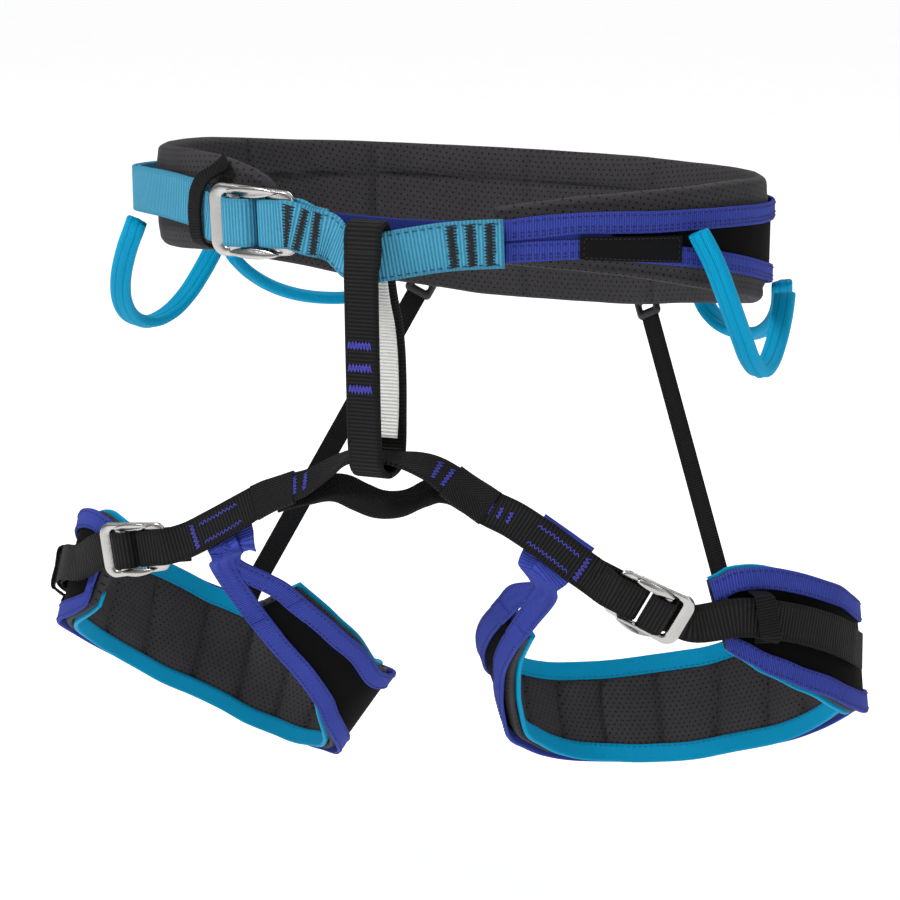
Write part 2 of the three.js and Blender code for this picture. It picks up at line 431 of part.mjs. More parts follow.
// Arms, buckles, straps, keepers and front tabs. 'side' is the wearer's side.
function legFront(side, frame, d, band, armRows, strapS, tabRows, tabW) {
  const name = `leg_buckle_${side}`;
  buckleParts(name, frame, d);
  const row = (u, o) => [frame.P(u, 0, o), frame.v.clone()];
  const L = d.L, t = d.t;
  // arm webbing: folded round the buckle's fixed end, then up to the bridge
  part(`leg_arm_${side}`, ribbonGeometry([
    row(L + 9, -1.7), row(L + 3, -1.6), row(28, -1.4), row(24, -1.35), row(21.1, -0.8), row(20.2, t / 2), row(21.1, t + 0.8),
    row(24, t + 1.5), row(29, t + 1.6), row(L, t + 1.5), ...armRows,
  ], LEG_WEB, 1.5, 2), 'black');
  // strap: sewn on the outside of the loop, under the frame, over the slide bar, back as the tail
  const sr = (s, o) => {
    const p = band.P(s, strapS.w(s), o);
    const hgt = band.edgeTop(s).sub(band.edgeBottom(s)).normalize();
    return [p, hgt];
  };
  part(`leg_strap_${side}`, ribbonGeometry([
    ...strapS.inner.map(([s, o]) => sr(s, o)),
    row(-2, -3.3), row(4, -3.2), row(10, -3.2), row(14.2, -2.9), row(16.9, -1.5), row(17.9, 1.6), row(17.5, 4.8),
    row(15.7, 6.3), row(12.4, 6.5), row(9.6, 5.9), row(8.4, 4.2), row(8.0, 1.6), row(6.8, -0.6),
    row(3.6, -1.4), row(-2, -1.4),
    ...strapS.tail.map(([s, o]) => sr(s, o)),
  ], LEG_WEB, 1.3, 2), 'black');
  part(`leg_keeper_${side}`, ribbonGeometry(strapS.keeper.map(([s, w, o]) => {
    const p = band.P(s - 2, w, o), q = band.P(s + 2, w, o);
    return [band.P(s, w, o), q.sub(p).normalize()];
  }), 11, 1.1, 1), 'black');
  part(`leg_front_tab_${side}`, ringRibbon(tabRows, tabW, 1.5, 2), 'indigo');
}

// wearer's right leg
const fr = localFrame(V(-126.4, -103.6, -134.3), V(0.974, -0.112, 0.199), V(-0.19, 0.1, 0.975));
// wearer's left leg
const fl = localFrame(V(133.8, -98.4, -139.6), V(-0.86, -0.24, 0.45), V(0.45, -0.05, 0.88));

// closed tab loop round an arm: c = arm centre, d = along the arm, w = across
// the arm, n = out of its face, tail = the lower end of the loop
function tabLoop(c, d, w, n, tail) {
  const q = (a, b) => add(add(c, w, a), n, b);
  const base = q(-11.6, -1.4);
  const dir = tail.clone().sub(base), L = dir.length();
  dir.normalize();
  const side = dir.clone().cross(d).normalize();
  if (side.dot(w) > 0) side.negate();
  const r = (a, b) => add(add(base, dir, a), side, b);
  return [
    q(10, 0), q(8.8, 2.3), q(2, 3), q(-8, 3.2), q(-12.8, 2.4), r(1.5, 2), r(L * 0.5, 1.35), r(L * 0.92, 1.2), r(L + 1, 0),
    r(L * 0.92, -1.2), r(L * 0.5, -1.35), r(3.6, -1.4), q(-5.6, -3.9), q(2, -3), q(8.8, -2.3),
  ].map((p) => [p, d.clone()]);
}
{
  const armRows = [[V(-84, -109.6, -123.8), V(-0.36, 0.3, 0.85)], [V(-73.1, -109.2, -117.6), V(-0.45, 0.35, 0.8)], [V(-63.4, -109, -111.6), V(-0.47, 0.4, 0.76)],
    [V(-56.4, -108.8, -107), V(-0.46, 0.48, 0.72)], [V(-49.5, -108.6, -102.6), V(-0.36, 0.58, 0.72)], [V(-43.6, -108.3, -99.8), V(0, 0.68, 0.73)]];
  const d = V(0.86, 0.01, 0.51).normalize(), w = V(-0.47, 0.38, 0.78).normalize(), n = d.clone().cross(w).normalize();
  if (n.y > 0) n.negate();
  legFront('right', fr, LEG_BUCKLE, bandR, armRows, {
    w: (s) => look([[30, 0.5], [60, 0.52], [100, 0.5]], s),
    inner: [[96, 6.2], [86, 6.2], [74, 6.3], [60, 6.8], [46, 6.6], [34, 6.2]],
    tail: [[34, 8.2], [46, 8.7], [60, 8.9], [74, 8.5], [84, 8.4]],
    keeper: [[67, 0.76, 5.9], [67, 0.745, 6.2], [67, 0.73, 8.8], [67, 0.7, 11.5], [67, 0.52, 11.8], [67, 0.34, 11.5], [67, 0.305, 8.8], [67, 0.28, 6.1], [67, 0.24, 5.7]],
  }, tabLoop(V(-67.6, -109.05, -114.2), d, w, n, V(-65.5, -97.2, -132.0)), 16);
}
{
  const armRows = [[V(97, -106.8, -121.2), V(0.44, 0.3, 0.85)], [V(88, -107.2, -115.6), V(0.46, 0.36, 0.8)], [V(80.8, -107.4, -110.6), V(0.47, 0.4, 0.78)],
    [V(73, -107.6, -105.8), V(0.46, 0.42, 0.78)], [V(62, -107.4, -100), V(0.44, 0.5, 0.74)], [V(52, -107.3, -96.2), V(0.36, 0.58, 0.72)], [V(44.8, -107.2, -92.1), V(0, 0.68, 0.73)]];
  const d = V(-0.86, 0.03, 0.5).normalize(), w = V(0.46, 0.38, 0.78).normalize(), n = d.clone().cross(w).normalize();
  if (n.y > 0) n.negate();
  legFront('left', fl, LEG_BUCKLE, bandL, armRows, {
    w: (s) => look([[30, 0.5], [45, 0.54], [60, 0.55], [100, 0.52]], s),
    inner: [[88, 6.2], [78, 6.2], [66, 6.3], [54, 6.6], [42, 7.4], [32, 8.2]],
    tail: [[32, 10.2], [42, 9.6], [54, 8.8], [66, 8.4], [76, 8.3]],
    keeper: [[50, 0.765, 6.0], [50, 0.755, 6.4], [50, 0.745, 9.4], [50, 0.72, 12.3], [50, 0.55, 12.7], [50, 0.37, 12.3], [50, 0.33, 9.4], [50, 0.3, 6.2], [50, 0.26, 5.7]],
  }, tabLoop(V(81, -107.4, -110.8), d, w, n, V(75.6, -95, -132.6)), 18);
}

// -------------------------------------------------------------------- risers
// Elastic straps from the back of the belt to the back of each leg loop, with
// a plastic hook at the top end.
function riser(side, top, bottom, wdir) {
  const dir = bottom.clone().sub(top).normalize();
  part(`riser_${side}`, ribbonGeometry([[add(top, dir, 9.5), wdir], [top.clone().lerp(bottom, 0.35), wdir], [top.clone().lerp(bottom, 0.7), wdir], [bottom, wdir]], RISER_W, 1.4, 2), 'black');
  const f = localFrame(add(top, dir, -2), dir, wdir);
  const s = roundedRect(new THREE.Shape(), 0, -7, 11, 7, 2.4);
  s.holes.push(roundedRect(new THREE.Path(), 2.4, -4.6, 8.2, 4.6, 1));
  part(`riser_hook_${side}`, plate(f, s, -1.4, 1.4, 2), 'plastic');
}
riser('right', V(-54.5, 102.8, -48), V(-127.4, 53.2, -199), V(0.88, 0.35, -0.3));
riser('left', V(57.5, 102.4, -50), V(117.4, 56.8, -196.5), V(0.9, -0.35, 0.3));

export default harness;
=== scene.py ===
import bpy
import math
import numpy as np
from mathutils import Vector, Matrix


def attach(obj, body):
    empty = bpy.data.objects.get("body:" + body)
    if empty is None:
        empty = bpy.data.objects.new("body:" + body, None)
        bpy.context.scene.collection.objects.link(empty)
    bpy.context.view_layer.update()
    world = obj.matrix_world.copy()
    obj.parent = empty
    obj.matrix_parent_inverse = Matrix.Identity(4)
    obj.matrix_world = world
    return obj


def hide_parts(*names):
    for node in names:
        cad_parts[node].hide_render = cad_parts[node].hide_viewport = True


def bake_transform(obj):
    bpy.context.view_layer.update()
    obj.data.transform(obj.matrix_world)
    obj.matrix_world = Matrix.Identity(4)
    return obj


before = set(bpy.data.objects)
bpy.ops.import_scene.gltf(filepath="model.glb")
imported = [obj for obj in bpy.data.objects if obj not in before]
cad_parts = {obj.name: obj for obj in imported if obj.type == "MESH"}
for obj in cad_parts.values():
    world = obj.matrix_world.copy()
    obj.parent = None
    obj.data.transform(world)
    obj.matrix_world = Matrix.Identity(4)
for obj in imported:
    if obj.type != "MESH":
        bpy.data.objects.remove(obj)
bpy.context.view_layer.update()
MM = 0.001
UP = np.array([0.0, 0.0, 1.0])

# ------------------------------------------------------------------ tables
# the same rows as the CAD, in millimetres and degrees
WAIST_A, WAIST_B = 133.0, 104.0
BELT = [
    (22, 25.8, 2.9), (30, 28.1, 1.2), (37, 29.8, -0.6), (45, 30.3, -3.2), (53, 30.8, -6.5),
    (63, 30.8, -11.3), (76, 30.2, -17.5), (90, 27.8, -24), (100, 25.6, -29), (110, 24.2, -34),
    (128, 21.8, -41), (143, 19.8, -46.5), (155, 19.3, -51), (169, 18.5, -53.3), (180, 18.5, -53.7),
    (191, 18.8, -53), (200, 19.3, -50.4), (211, 20.5, -46.8), (221, 21.8, -43.2), (232, 23.3, -37),
    (247, 26.5, -29.6), (260, 29.4, -23), (270, 31, -17.5), (277, 32, -14), (285, 33.2, -11),
    (300, 36, -8), (312, 38.4, -5.2), (322, 39, -2.6), (328, 38.5, -1.4), (333.5, 36.5, -0.8),
    (338, 33, -0.2), (340.5, 28.5, 1.5)]
TAPE_UP = [
    (23.7, 21.6, 13.1), (30, 23.4, 14.2), (37, 24.2, 15.6), (44, 24.1, 14.9), (52, 23.2, 14.2),
    (62, 22.3, 13.6), (74, 20.7, 12), (84, 18.8, 10.2), (93, 17.1, 8.6), (105, 15, 6.5),
    (120, 12.5, 4), (150, 10, 1.5), (180, 9.5, 1), (210, 11.5, 3), (240, 16, 7.5), (262, 19, 10.5)]
TAPE_LO = [
    (23.7, 12.5, 4.1), (30, 13.2, 4.8), (37, 13.3, 5.2), (44, 12, 4.0), (52, 9.6, 1.5),
    (62, 6.2, -2.1), (68, 3.5, -4.8), (75, 0, -8.1), (88, -7, -15), (100, -12.6, -20.8),
    (120, -20.6, -29), (150, -31, -39.5), (180, -36, -44.5), (210, -30, -38.5), (240, -17.5, -26), (262, -6.8, -15.2)]
LEG_R = dict(side=-1, top=(66.5, 72, -99, -22), bot=(58.5, 66, -116.7, -30),
    zt=[(8, -129), (23, -126), (28, -124.5), (34, -123.6), (42, -125.4), (51, -129.5), (62, -137), (76, -147.5),
        (90, -156.5), (100, -162.9), (114, -172.8), (124, -180.1), (132, -186.4), (140, -193), (148, -198),
        (162, -206.4), (178, -215.7), (198, -221.5), (219, -222), (240, -216), (255, -210.5), (268, -203.4),
        (281, -187.1), (291, -176.6), (298, -168.2), (308, -156.9), (317, -146.4), (324, -138.4), (333, -131.4)],
    zb=[(8, -150.1), (12, -155.5), (18, -161.5), (26, -168), (33, -172.4), (45, -178.5), (58, -185.2), (70, -192),
        (84, -201), (99, -212.4), (116, -225.8), (132, -238.5), (146, -247.1), (159, -254.8), (174, -263.2),
        (194, -268.0), (204, -268.5), (213, -267), (230, -262), (245, -253), (257, -243), (266, -232),
        (271, -222.5), (279, -211.6), (290, -196.4), (299, -184.8), (307, -172.9), (314, -161.2), (319, -153.1),
        (325, -142.8), (333, -137.5)])
LEG_L = dict(side=1, top=(78.5, 72, 104, -22), bot=(75, 66, 114.8, -30),
    zt=[(10, -131), (19, -126.8), (24, -124.3), (29, -122.3), (33, -119.6), (38, -119), (42, -119.3), (47, -120.7),
        (56, -124.8), (66, -130.6), (75, -136), (84, -143), (95, -150), (108, -156), (125, -164), (143, -175.5),
        (160, -188.7), (177, -200.7), (188, -205), (199, -207.9), (209, -209.7), (219, -210), (232, -208.3),
        (241, -205.8), (251, -201.3), (265, -193.2), (278, -183), (288, -171.4), (300, -159.3), (310, -149.5),
        (319, -140.2), (327, -130.9)],
    zb=[(10, -143), (14, -144.5), (18, -146.5), (24, -150.3), (29, -154.3), (34, -158.1), (39, -162.5), (46, -166.9),
        (53, -171.9), (63, -177.9), (74, -185.8), (88, -194), (104, -200), (119, -206.5), (127, -213), (142, -225.8),
        (155, -235.5), (172, -244.5), (188, -251.4), (204, -253.7), (216, -253), (232, -249.4), (245, -243.2),
        (256, -235.5), (269, -225.3), (277, -212), (286, -198.9), (293, -186), (306, -170.2), (318, -154), (327, -139.1)])


# ----------------------------------------------------------------- helpers
def look(rows, x, col=1):
    """smooth lookup in rows of (x, value, ...), for a number or an array"""
    r = np.array([[q[0], q[col]] for q in rows], float)
    X, Y = r[:, 0], r[:, 1]
    m = np.empty(len(X))
    m[1:-1] = (Y[2:] - Y[:-2]) / (X[2:] - X[:-2])
    m[0] = (Y[1] - Y[0]) / (X[1] - X[0])
    m[-1] = (Y[-1] - Y[-2]) / (X[-1] - X[-2])
    x = np.asarray(x, float)
    i = np.clip(np.searchsorted(X, x, side="right") - 1, 0, len(X) - 2)
    h = X[i + 1] - X[i]
    t = np.clip((x - X[i]) / h, 0, 1)
    t2, t3 = t * t, t * t * t
    return (2*t3 - 3*t2 + 1)*Y[i] + (t3 - 2*t2 + t)*h*m[i] + (-2*t3 + 3*t2)*Y[i+1] + (t3 - t2)*h*m[i+1]


def unit(v):
    v = np.asarray(v, float)
    return v / np.maximum(np.linalg.norm(v, axis=-1, keepdims=True), 1e-12)


def shell(s, z, o):
    """point straight out from the waist ellipse, for arrays"""
    s, z, o = np.broadcast_arrays(np.asarray(s, float), np.asarray(z, float), np.asarray(o, float))
    a = np.radians(s)
    n = unit(np.stack([np.sin(a) / WAIST_A, -np.cos(a) / WAIST_B, np.zeros_like(a)], -1))
    p = np.stack([WAIST_A * np.sin(a), -WAIST_B * np.cos(a), z], -1)
    return p + n * o[..., None]


def legband(L):
    """P(s, w, o) on a leg loop: w 0 bottom to 1 top, o out from the middle"""
    def edge(q, rows, s):
        a = np.radians(s)
        return np.stack([q[2] + L["side"] * q[0] * np.sin(a), q[3] - q[1] * np.cos(a), look(rows, s)], -1)

    def at(s, w):
        T, B = edge(L["top"], L["zt"], s), edge(L["bot"], L["zb"], s)
        return B + (T - B) * w[..., None]

    def height(s):
        s = np.asarray(s, float)
        return np.linalg.norm(edge(L["top"], L["zt"], s) - edge(L["bot"], L["zb"], s), axis=-1)

    def normal(s):
        h = np.full_like(s, 0.5)
        t = at(s + 0.5, h) - at(s - 0.5, h)
        d = edge(L["top"], L["zt"], s) - edge(L["bot"], L["zb"], s)
        return unit(np.cross(t, d)) * (-1 if L["side"] > 0 else 1) * -1

    def P(s, w, o):
        s, w, o = np.broadcast_arrays(np.asarray(s, float), np.asarray(w, float), np.asarray(o, float))
        s, w = s.copy(), w.copy()
        return at(s, w) + normal(s) * o[..., None]
    # normals must point out of the loop
    c = 0.5 * (P(180.0, 0.5, 0.0) + P(60.0, 0.5, 0.0))
    sign = 1.0 if np.dot(P(180.0, 0.5, 1.0) - P(180.0, 0.5, 0.0), P(180.0, 0.5, 0.0) - c) > 0 else -1.0
    return (lambda s, w, o: P(s, w, np.asarray(o, float) * sign)), height


def catmull(pts, k, closed=False, alpha=0.5):
    """centripetal curve through rows of numbers, k samples a span"""
    p = np.asarray(pts, float)
    n = len(p)
    out = []
    spans = n if closed else n - 1
    for i in range(spans):
        if closed:
            a, b, c, d = p[(i-1) % n], p[i], p[(i+1) % n], p[(i+2) % n]
        else:
            b, c = p[i], p[i+1]
            a = p[i-1] if i > 0 else 2*b - c
            d = p[i+2] if i + 2 < n else 2*c - b
        d0 = max(np.linalg.norm((b-a)[:3])**alpha, 1e-4)
        d1 = max(np.linalg.norm((c-b)[:3])**alpha, 1e-4)
        d2 = max(np.linalg.norm((d-c)[:3])**alpha, 1e-4)
        t1 = ((b-a)/d0 - (c-a)/(d0+d1) + (c-b)/d1) * d1
        t2 = ((c-b)/d1 - (d-b)/(d1+d2) + (d-c)/d2) * d1
        for j in range(k):
            t = j / k
            out.append((2*b - 2*c + t1 + t2)*t**3 + (-3*b + 3*c - 2*t1 - t2)*t*t + t1*t + b)
    if not closed:
        out.append(p[-1])
    return np.array(out)


class Ribbon:
    """frames along webbing: rows of (point, width direction)"""
    def __init__(self, rows, k=6, closed=False):
        data = np.array([list(r[0]) + list(r[1]) for r in rows], float)
        c = catmull(data, k, closed)
        self.closed = closed
        self.P, W = c[:, :3], c[:, 3:6]
        if closed:
            T = np.roll(self.P, -1, 0) - np.roll(self.P, 1, 0)
        else:
            T = np.gradient(self.P, axis=0)
        self.T = unit(T)
        W = W - self.T * np.sum(W * self.T, -1, keepdims=True)
        self.W = unit(W)
        self.N = np.cross(self.T, self.W)
        seg = np.linalg.norm(np.diff(self.P, axis=0), axis=1)
        self.S = np.concatenate([[0], np.cumsum(seg)])
        self.len = self.S[-1] + (np.linalg.norm(self.P[0] - self.P[-1]) if closed else 0)

    def at(self, s, v, h):
        """point at length s, across v, above the middle h"""
        s = np.asarray(s, float)
        f = lambda A: np.stack([np.interp(s, self.S, A[:, i]) for i in range(3)], -1)
        W, N = unit(f(self.W)), unit(f(self.N))
        return f(self.P) + W * np.asarray(v, float)[..., None] + N * np.asarray(h, float)[..., None]

    def s_near(self, p):
        return self.S[np.argmin(np.linalg.norm(self.P - np.asarray(p, float), axis=1))]


def volume(v, faces):
    t = 0.0
    for f in faces:
        a = v[f[0]]
        for i in range(1, len(f) - 1):
            t += np.dot(a, np.cross(v[f[i]], v[f[i+1]]))
    return t


COLL = bpy.context.scene.collection


def mesh_object(name, verts, faces, uvs=None, mat=None, smooth=True):
    """uvs: one pair for each face corner, in face order, in metres"""
    me = bpy.data.meshes.new(name)
    me.from_pydata((np.asarray(verts) * MM).tolist(), [], faces)
    if uvs is not None:
        lay = me.uv_layers.new(name="UVMap")
        lay.data.foreach_set("uv", np.asarray(uvs, dtype=np.float32).ravel())
    me.update()
    if smooth:
        me.polygons.foreach_set("use_smooth", [True] * len(me.polygons))
    ob = bpy.data.objects.new(name, me)
    COLL.objects.link(ob)
    if mat is not None:
        me.materials.append(mat)
    return ob


def loft(name, pts, uv, closed_u=False, closed_v=True, mat=None, flip=None, smooth=True):
    """pts (nu, nv, 3) mm. closed_v makes each row a closed section; the ends are capped"""
    nu, nv = pts.shape[:2]
    idx = lambda i, j: (i % nu) * nv + (j % nv)
    V = pts.reshape(-1, 3)
    faces, uvs = [], []
    ru = nu if closed_u else nu - 1
    rv = nv if closed_v else nv - 1
    for i in range(ru):
        for j in range(rv):
            faces.append([idx(i, j), idx(i+1, j), idx(i+1, j+1), idx(i, j+1)])
            uvs.append([uv[i, j], uv[i+1, j], uv[i+1, j+1], uv[i, j+1]])
    V = list(V)
    if closed_v and not closed_u:
        for i, rev in ((0, False), (nu - 1, True)):
            c = len(V)
            V.append(pts[i].mean(0))
            cu = uv[i, :nv].mean(0)
            for j in range(nv):
                f = [idx(i, j), idx(i, j+1), c] if not rev else [idx(i, j+1), idx(i, j), c]
                q = [uv[i, j], uv[i, j+1], cu] if not rev else [uv[i, j+1], uv[i, j], cu]
                faces.append(f)
                uvs.append(q)
    V = np.array(V)
    if closed_v or closed_u:
        if (volume(V - V.mean(0), faces) < 0) != bool(flip):
            faces = [f[::-1] for f in faces]
            uvs = [q[::-1] for q in uvs]
    flat = [c for q in uvs for c in q]
    return mesh_object(name, V, faces, np.array(flat) * MM, mat, smooth)


def section_rect(w, t, r, nw=6, nr=3):
    """closed section of a strap: rows of (across, through, v for the weave)"""
    r = min(r, t / 2 - 1e-3)
    pts = []
    for x in np.linspace(-w/2 + r, w/2 - r, nw + 1):
        pts.append((x, t/2))
    for a in np.linspace(90, -90, 2*nr + 1)[1:-1]:
        pts.append((w/2 - r + r*math.cos(math.radians(a)), (t/2 - r)*np.sign(math.sin(math.radians(a))) + r*math.sin(math.radians(a))))
    for x in np.linspace(w/2 - r, -w/2 + r, nw + 1):
        pts.append((x, -t/2))
    for a in np.linspace(-90, -270, 2*nr + 1)[1:-1]:
        pts.append((-w/2 + r + r*math.cos(math.radians(a)), (t/2 - r)*np.sign(math.sin(math.radians(a))) + r*math.sin(math.radians(a))))
    return np.array(pts)


def strap(name, rb, w, t, mat, width_scale=None, selvedge=0.0, nw=8, off=0.0, pleat=None, folds=3.0):
    """webbing along a Ribbon, with rounded edges and slightly raised selvedges"""
    sec = section_rect(w, t, t*0.48, nw)
    n = len(rb.P)
    pts = np.empty((n, len(sec), 3))
    for i in range(n):
        k = 1.0 if width_scale is None else float(width_scale[i])
        x = sec[:, 0] * k
        h = sec[:, 1] * (1 + selvedge * np.clip((np.abs(sec[:, 0]) / (w/2) - 0.78) / 0.2, 0, 1)) + off
        if pleat is not None:
            h = h + pleat[i] * np.cos(sec[:, 0] / w * 2 * math.pi * folds + 0.6)
        pts[i] = rb.P[i] + np.outer(x, rb.W[i]) + np.outer(h, rb.N[i])
    S = np.append(rb.S, rb.len) if rb.closed else rb.S
    v = np.append(sec[:, 0], sec[0, 0])
    uv = np.empty((len(S), len(sec) + 1, 2))
    uv[..., 0] = S[:, None]
    uv[..., 1] = v[None, :]
    return loft(name, pts, uv, closed_u=rb.closed, mat=mat)


def threads(name, segs, r, mat, sides=6, flat=0.75):
    """stitches: rows of (start, end, surface normal) in mm, each a small bead of thread"""
    segs = [s for s in segs if np.linalg.norm(np.asarray(s[1]) - np.asarray(s[0])) > 1e-6]
    a = np.array([s[0] for s in segs], float)
    b = np.array([s[1] for s in segs], float)
    nrm = unit(np.array([s[2] for s in segs], float))
    ax = unit(b - a)
    side = unit(np.cross(ax, nrm))
    nn = np.cross(side, ax)
    m = len(segs)
    ring = [(math.cos(2*math.pi*k/sides), math.sin(2*math.pi*k/sides)) for k in range(sides)]
    V = [a]
    for t, rr in ((0.16, 0.8), (0.5, 1.0), (0.84, 0.8)):
        c = a + (b - a) * t
        lift = nn * (r * 0.25 * (1 if t == 0.5 else 0))
        for cx, cy in ring:
            V.append(c + side * (r * rr * cx) + nn * (r * flat * rr * cy) + lift)
    V.append(b)
    V = np.stack(V, 1)                    # (m, 2 + 3*sides, 3)
    nvp = V.shape[1]
    local = []
    for k in range(sides):
        k2 = (k + 1) % sides
        local.append([0, 1 + k2, 1 + k])
        for q in range(2):
            local.append([1 + q*sides + k, 1 + q*sides + k2, 1 + (q+1)*sides + k2, 1 + (q+1)*sides + k])
        local.append([nvp - 1, 1 + 2*sides + k, 1 + 2*sides + k2])
    if volume(V[0] - V[0].mean(0), local) < 0:
        local = [f[::-1] for f in local]
    faces = []
    for i in range(m):
        o = i * nvp
        faces.extend([[q + o for q in f] for f in local])
    V = V.reshape(-1, 3)
    uv = np.zeros((sum(len(f) for f in faces), 2))
    return mesh_object(name, V, faces, uv, mat)


def run_stitch(path, normals, length=2.0, gap=0.9, lift=0.05):
    """dashes along a polyline"""
    path = np.asarray(path, float)
    seg = np.linalg.norm(np.diff(path, axis=0), axis=1)
    S = np.concatenate([[0], np.cumsum(seg)])
    n = int(S[-1] // (length + gap))
    out = []
    f = lambda A, s: np.array([np.interp(s, S, A[:, i]) for i in range(3)])
    for i in range(n):
        s0 = (i + 0.5) * S[-1] / max(n, 1) - length / 2
        nn = f(np.asarray(normals, float), s0 + length/2)
        out.append((f(path, s0) + nn*lift, f(path, s0 + length) + nn*lift, nn))
    return out


def bartack(rb, s, v0, v1, amp, h, pitch=0.62, side=1, jag=0.25, seed=1):
    """zigzag across a strap at length s, between v0 and v1"""
    rng = np.random.default_rng(seed)
    n = max(4, int(abs(v1 - v0) / pitch))
    vs = np.linspace(v0, v1, n + 1)
    seg = []
    prev = None
    for i, v in enumerate(vs):
        x = amp * (1 if i % 2 else -1) * (1 + rng.uniform(-jag, jag) * 0.5)
        p = rb.at(np.array([s + x]), np.array([v]), np.array([h * side]))[0]
        nn = (rb.at(np.array([s + x]), np.array([v]), np.array([h * side + side]))[0] - p)
        if prev is not None:
            seg.append((prev, p, nn))
        prev = p
    # a straight thread under the zigzag fills the bar
    for dv in (-0.3, 0.3):
        for k in range(int(abs(v1 - v0) / 1.6)):
            va, vb = v0 + (v1 - v0) * k / (abs(v1 - v0) / 1.6), v0 + (v1 - v0) * (k + 0.9) / (abs(v1 - v0) / 1.6)
            a = rb.at(np.array([s + dv * amp]), np.array([va]), np.array([(h - 0.05) * side]))[0]
            b = rb.at(np.array([s + dv * amp]), np.array([vb]), np.array([(h - 0.05) * side]))[0]
            seg.append((a, b, nn))
    return seg


def zigzag_row(rb, s0, s1, v, amp, h, pitch=1.1, side=1, seed=1):
    """zigzag running along a strap"""
    rng = np.random.default_rng(seed)
    n = max(3, int(abs(s1 - s0) / pitch))
    ss = np.linspace(s0, s1, n + 1)
    vs = v + amp * np.where(np.arange(n + 1) % 2, 1, -1) * (1 + rng.uniform(-0.2, 0.2, n + 1))
    p = rb.at(ss, vs, np.full(n + 1, h * side))
    nn = rb.at(ss, vs, np.full(n + 1, (h + 1) * side)) - p
    return [(p[i], p[i+1], nn[i]) for i in range(n)]


# --------------------------------------------------------------- materials
class G:
    """a small node graph writer"""
    def __init__(self, name):
        self.m = bpy.data.materials.new(name)
        self.m.use_nodes = True
        self.t = self.m.node_tree
        self.b = self.t.nodes["Principled BSDF"]

    def n(self, kind, **props):
        node = self.t.nodes.new(kind)
        for k, v in props.items():
            setattr(node, k, v)
        return node

    def put(self, socket, value):
        if hasattr(value, "is_output") or isinstance(value, bpy.types.NodeSocket):
            self.t.links.new(value, socket)
        else:
            socket.default_value = value

    def math(self, op, a, b=0.0, c=0.0, clamp=False):
        q = self.n("ShaderNodeMath", operation=op, use_clamp=clamp)
        self.put(q.inputs[0], a)
        self.put(q.inputs[1], b)
        if len(q.inputs) > 2:
            self.put(q.inputs[2], c)
        return q.outputs[0]

    def uv(self):
        q = self.n("ShaderNodeUVMap", uv_map="UVMap")
        s = self.n("ShaderNodeSeparateXYZ")
        self.t.links.new(q.outputs[0], s.inputs[0])
        return s.outputs[0], s.outputs[1], q.outputs[0]

    def obj(self):
        return self.n("ShaderNodeTexCoord").outputs["Object"]

    def noise(self, vec, scale, detail=3.0, rough=0.55):
        q = self.n("ShaderNodeTexNoise")
        self.put(q.inputs["Vector"], vec)
        q.inputs["Scale"].default_value = scale
        q.inputs["Detail"].default_value = detail
        q.inputs["Roughness"].default_value = rough
        return q.outputs[0]

    def ramp(self, fac, stops):
        q = self.n("ShaderNodeValToRGB")
        e = q.color_ramp.elements
        while len(e) < len(stops):
            e.new(0.5)
        for i, (pos, col) in enumerate(stops):
            e[i].position = pos
            e[i].color = (*col, 1.0)
        self.put(q.inputs[0], fac)
        return q.outputs[0]

    def mix(self, fac, a, b):
        q = self.n("ShaderNodeMix", data_type="RGBA")
        self.put(q.inputs[0], fac)
        self.put(q.inputs[6], a if not isinstance(a, tuple) else (*a, 1.0))
        self.put(q.inputs[7], b if not isinstance(b, tuple) else (*b, 1.0))
        return q.outputs[2]

    def bump(self, height, dist, strength=1.0):
        q = self.n("ShaderNodeBump")
        self.put(q.inputs["Height"], height)
        q.inputs["Distance"].default_value = dist
        q.inputs["Strength"].default_value = strength
        self.t.links.new(q.outputs[0], self.b.inputs["Normal"])

    def done(self, color, rough, metallic=0.0, sheen=0.0, spec=0.5):
        self.put(self.b.inputs["Base Color"], color)
        self.put(self.b.inputs["Roughness"], rough)
        self.b.inputs["Metallic"].default_value = metallic
        if sheen:
            self.b.inputs["Sheen Weight"].default_value = sheen
            self.b.inputs["Sheen Roughness"].default_value = 0.5
        self.b.inputs["Specular IOR Level"].default_value = spec
        return self.m


def mul(c, k):
    return tuple(min(1.0, max(0.0, x * k)) for x in c)


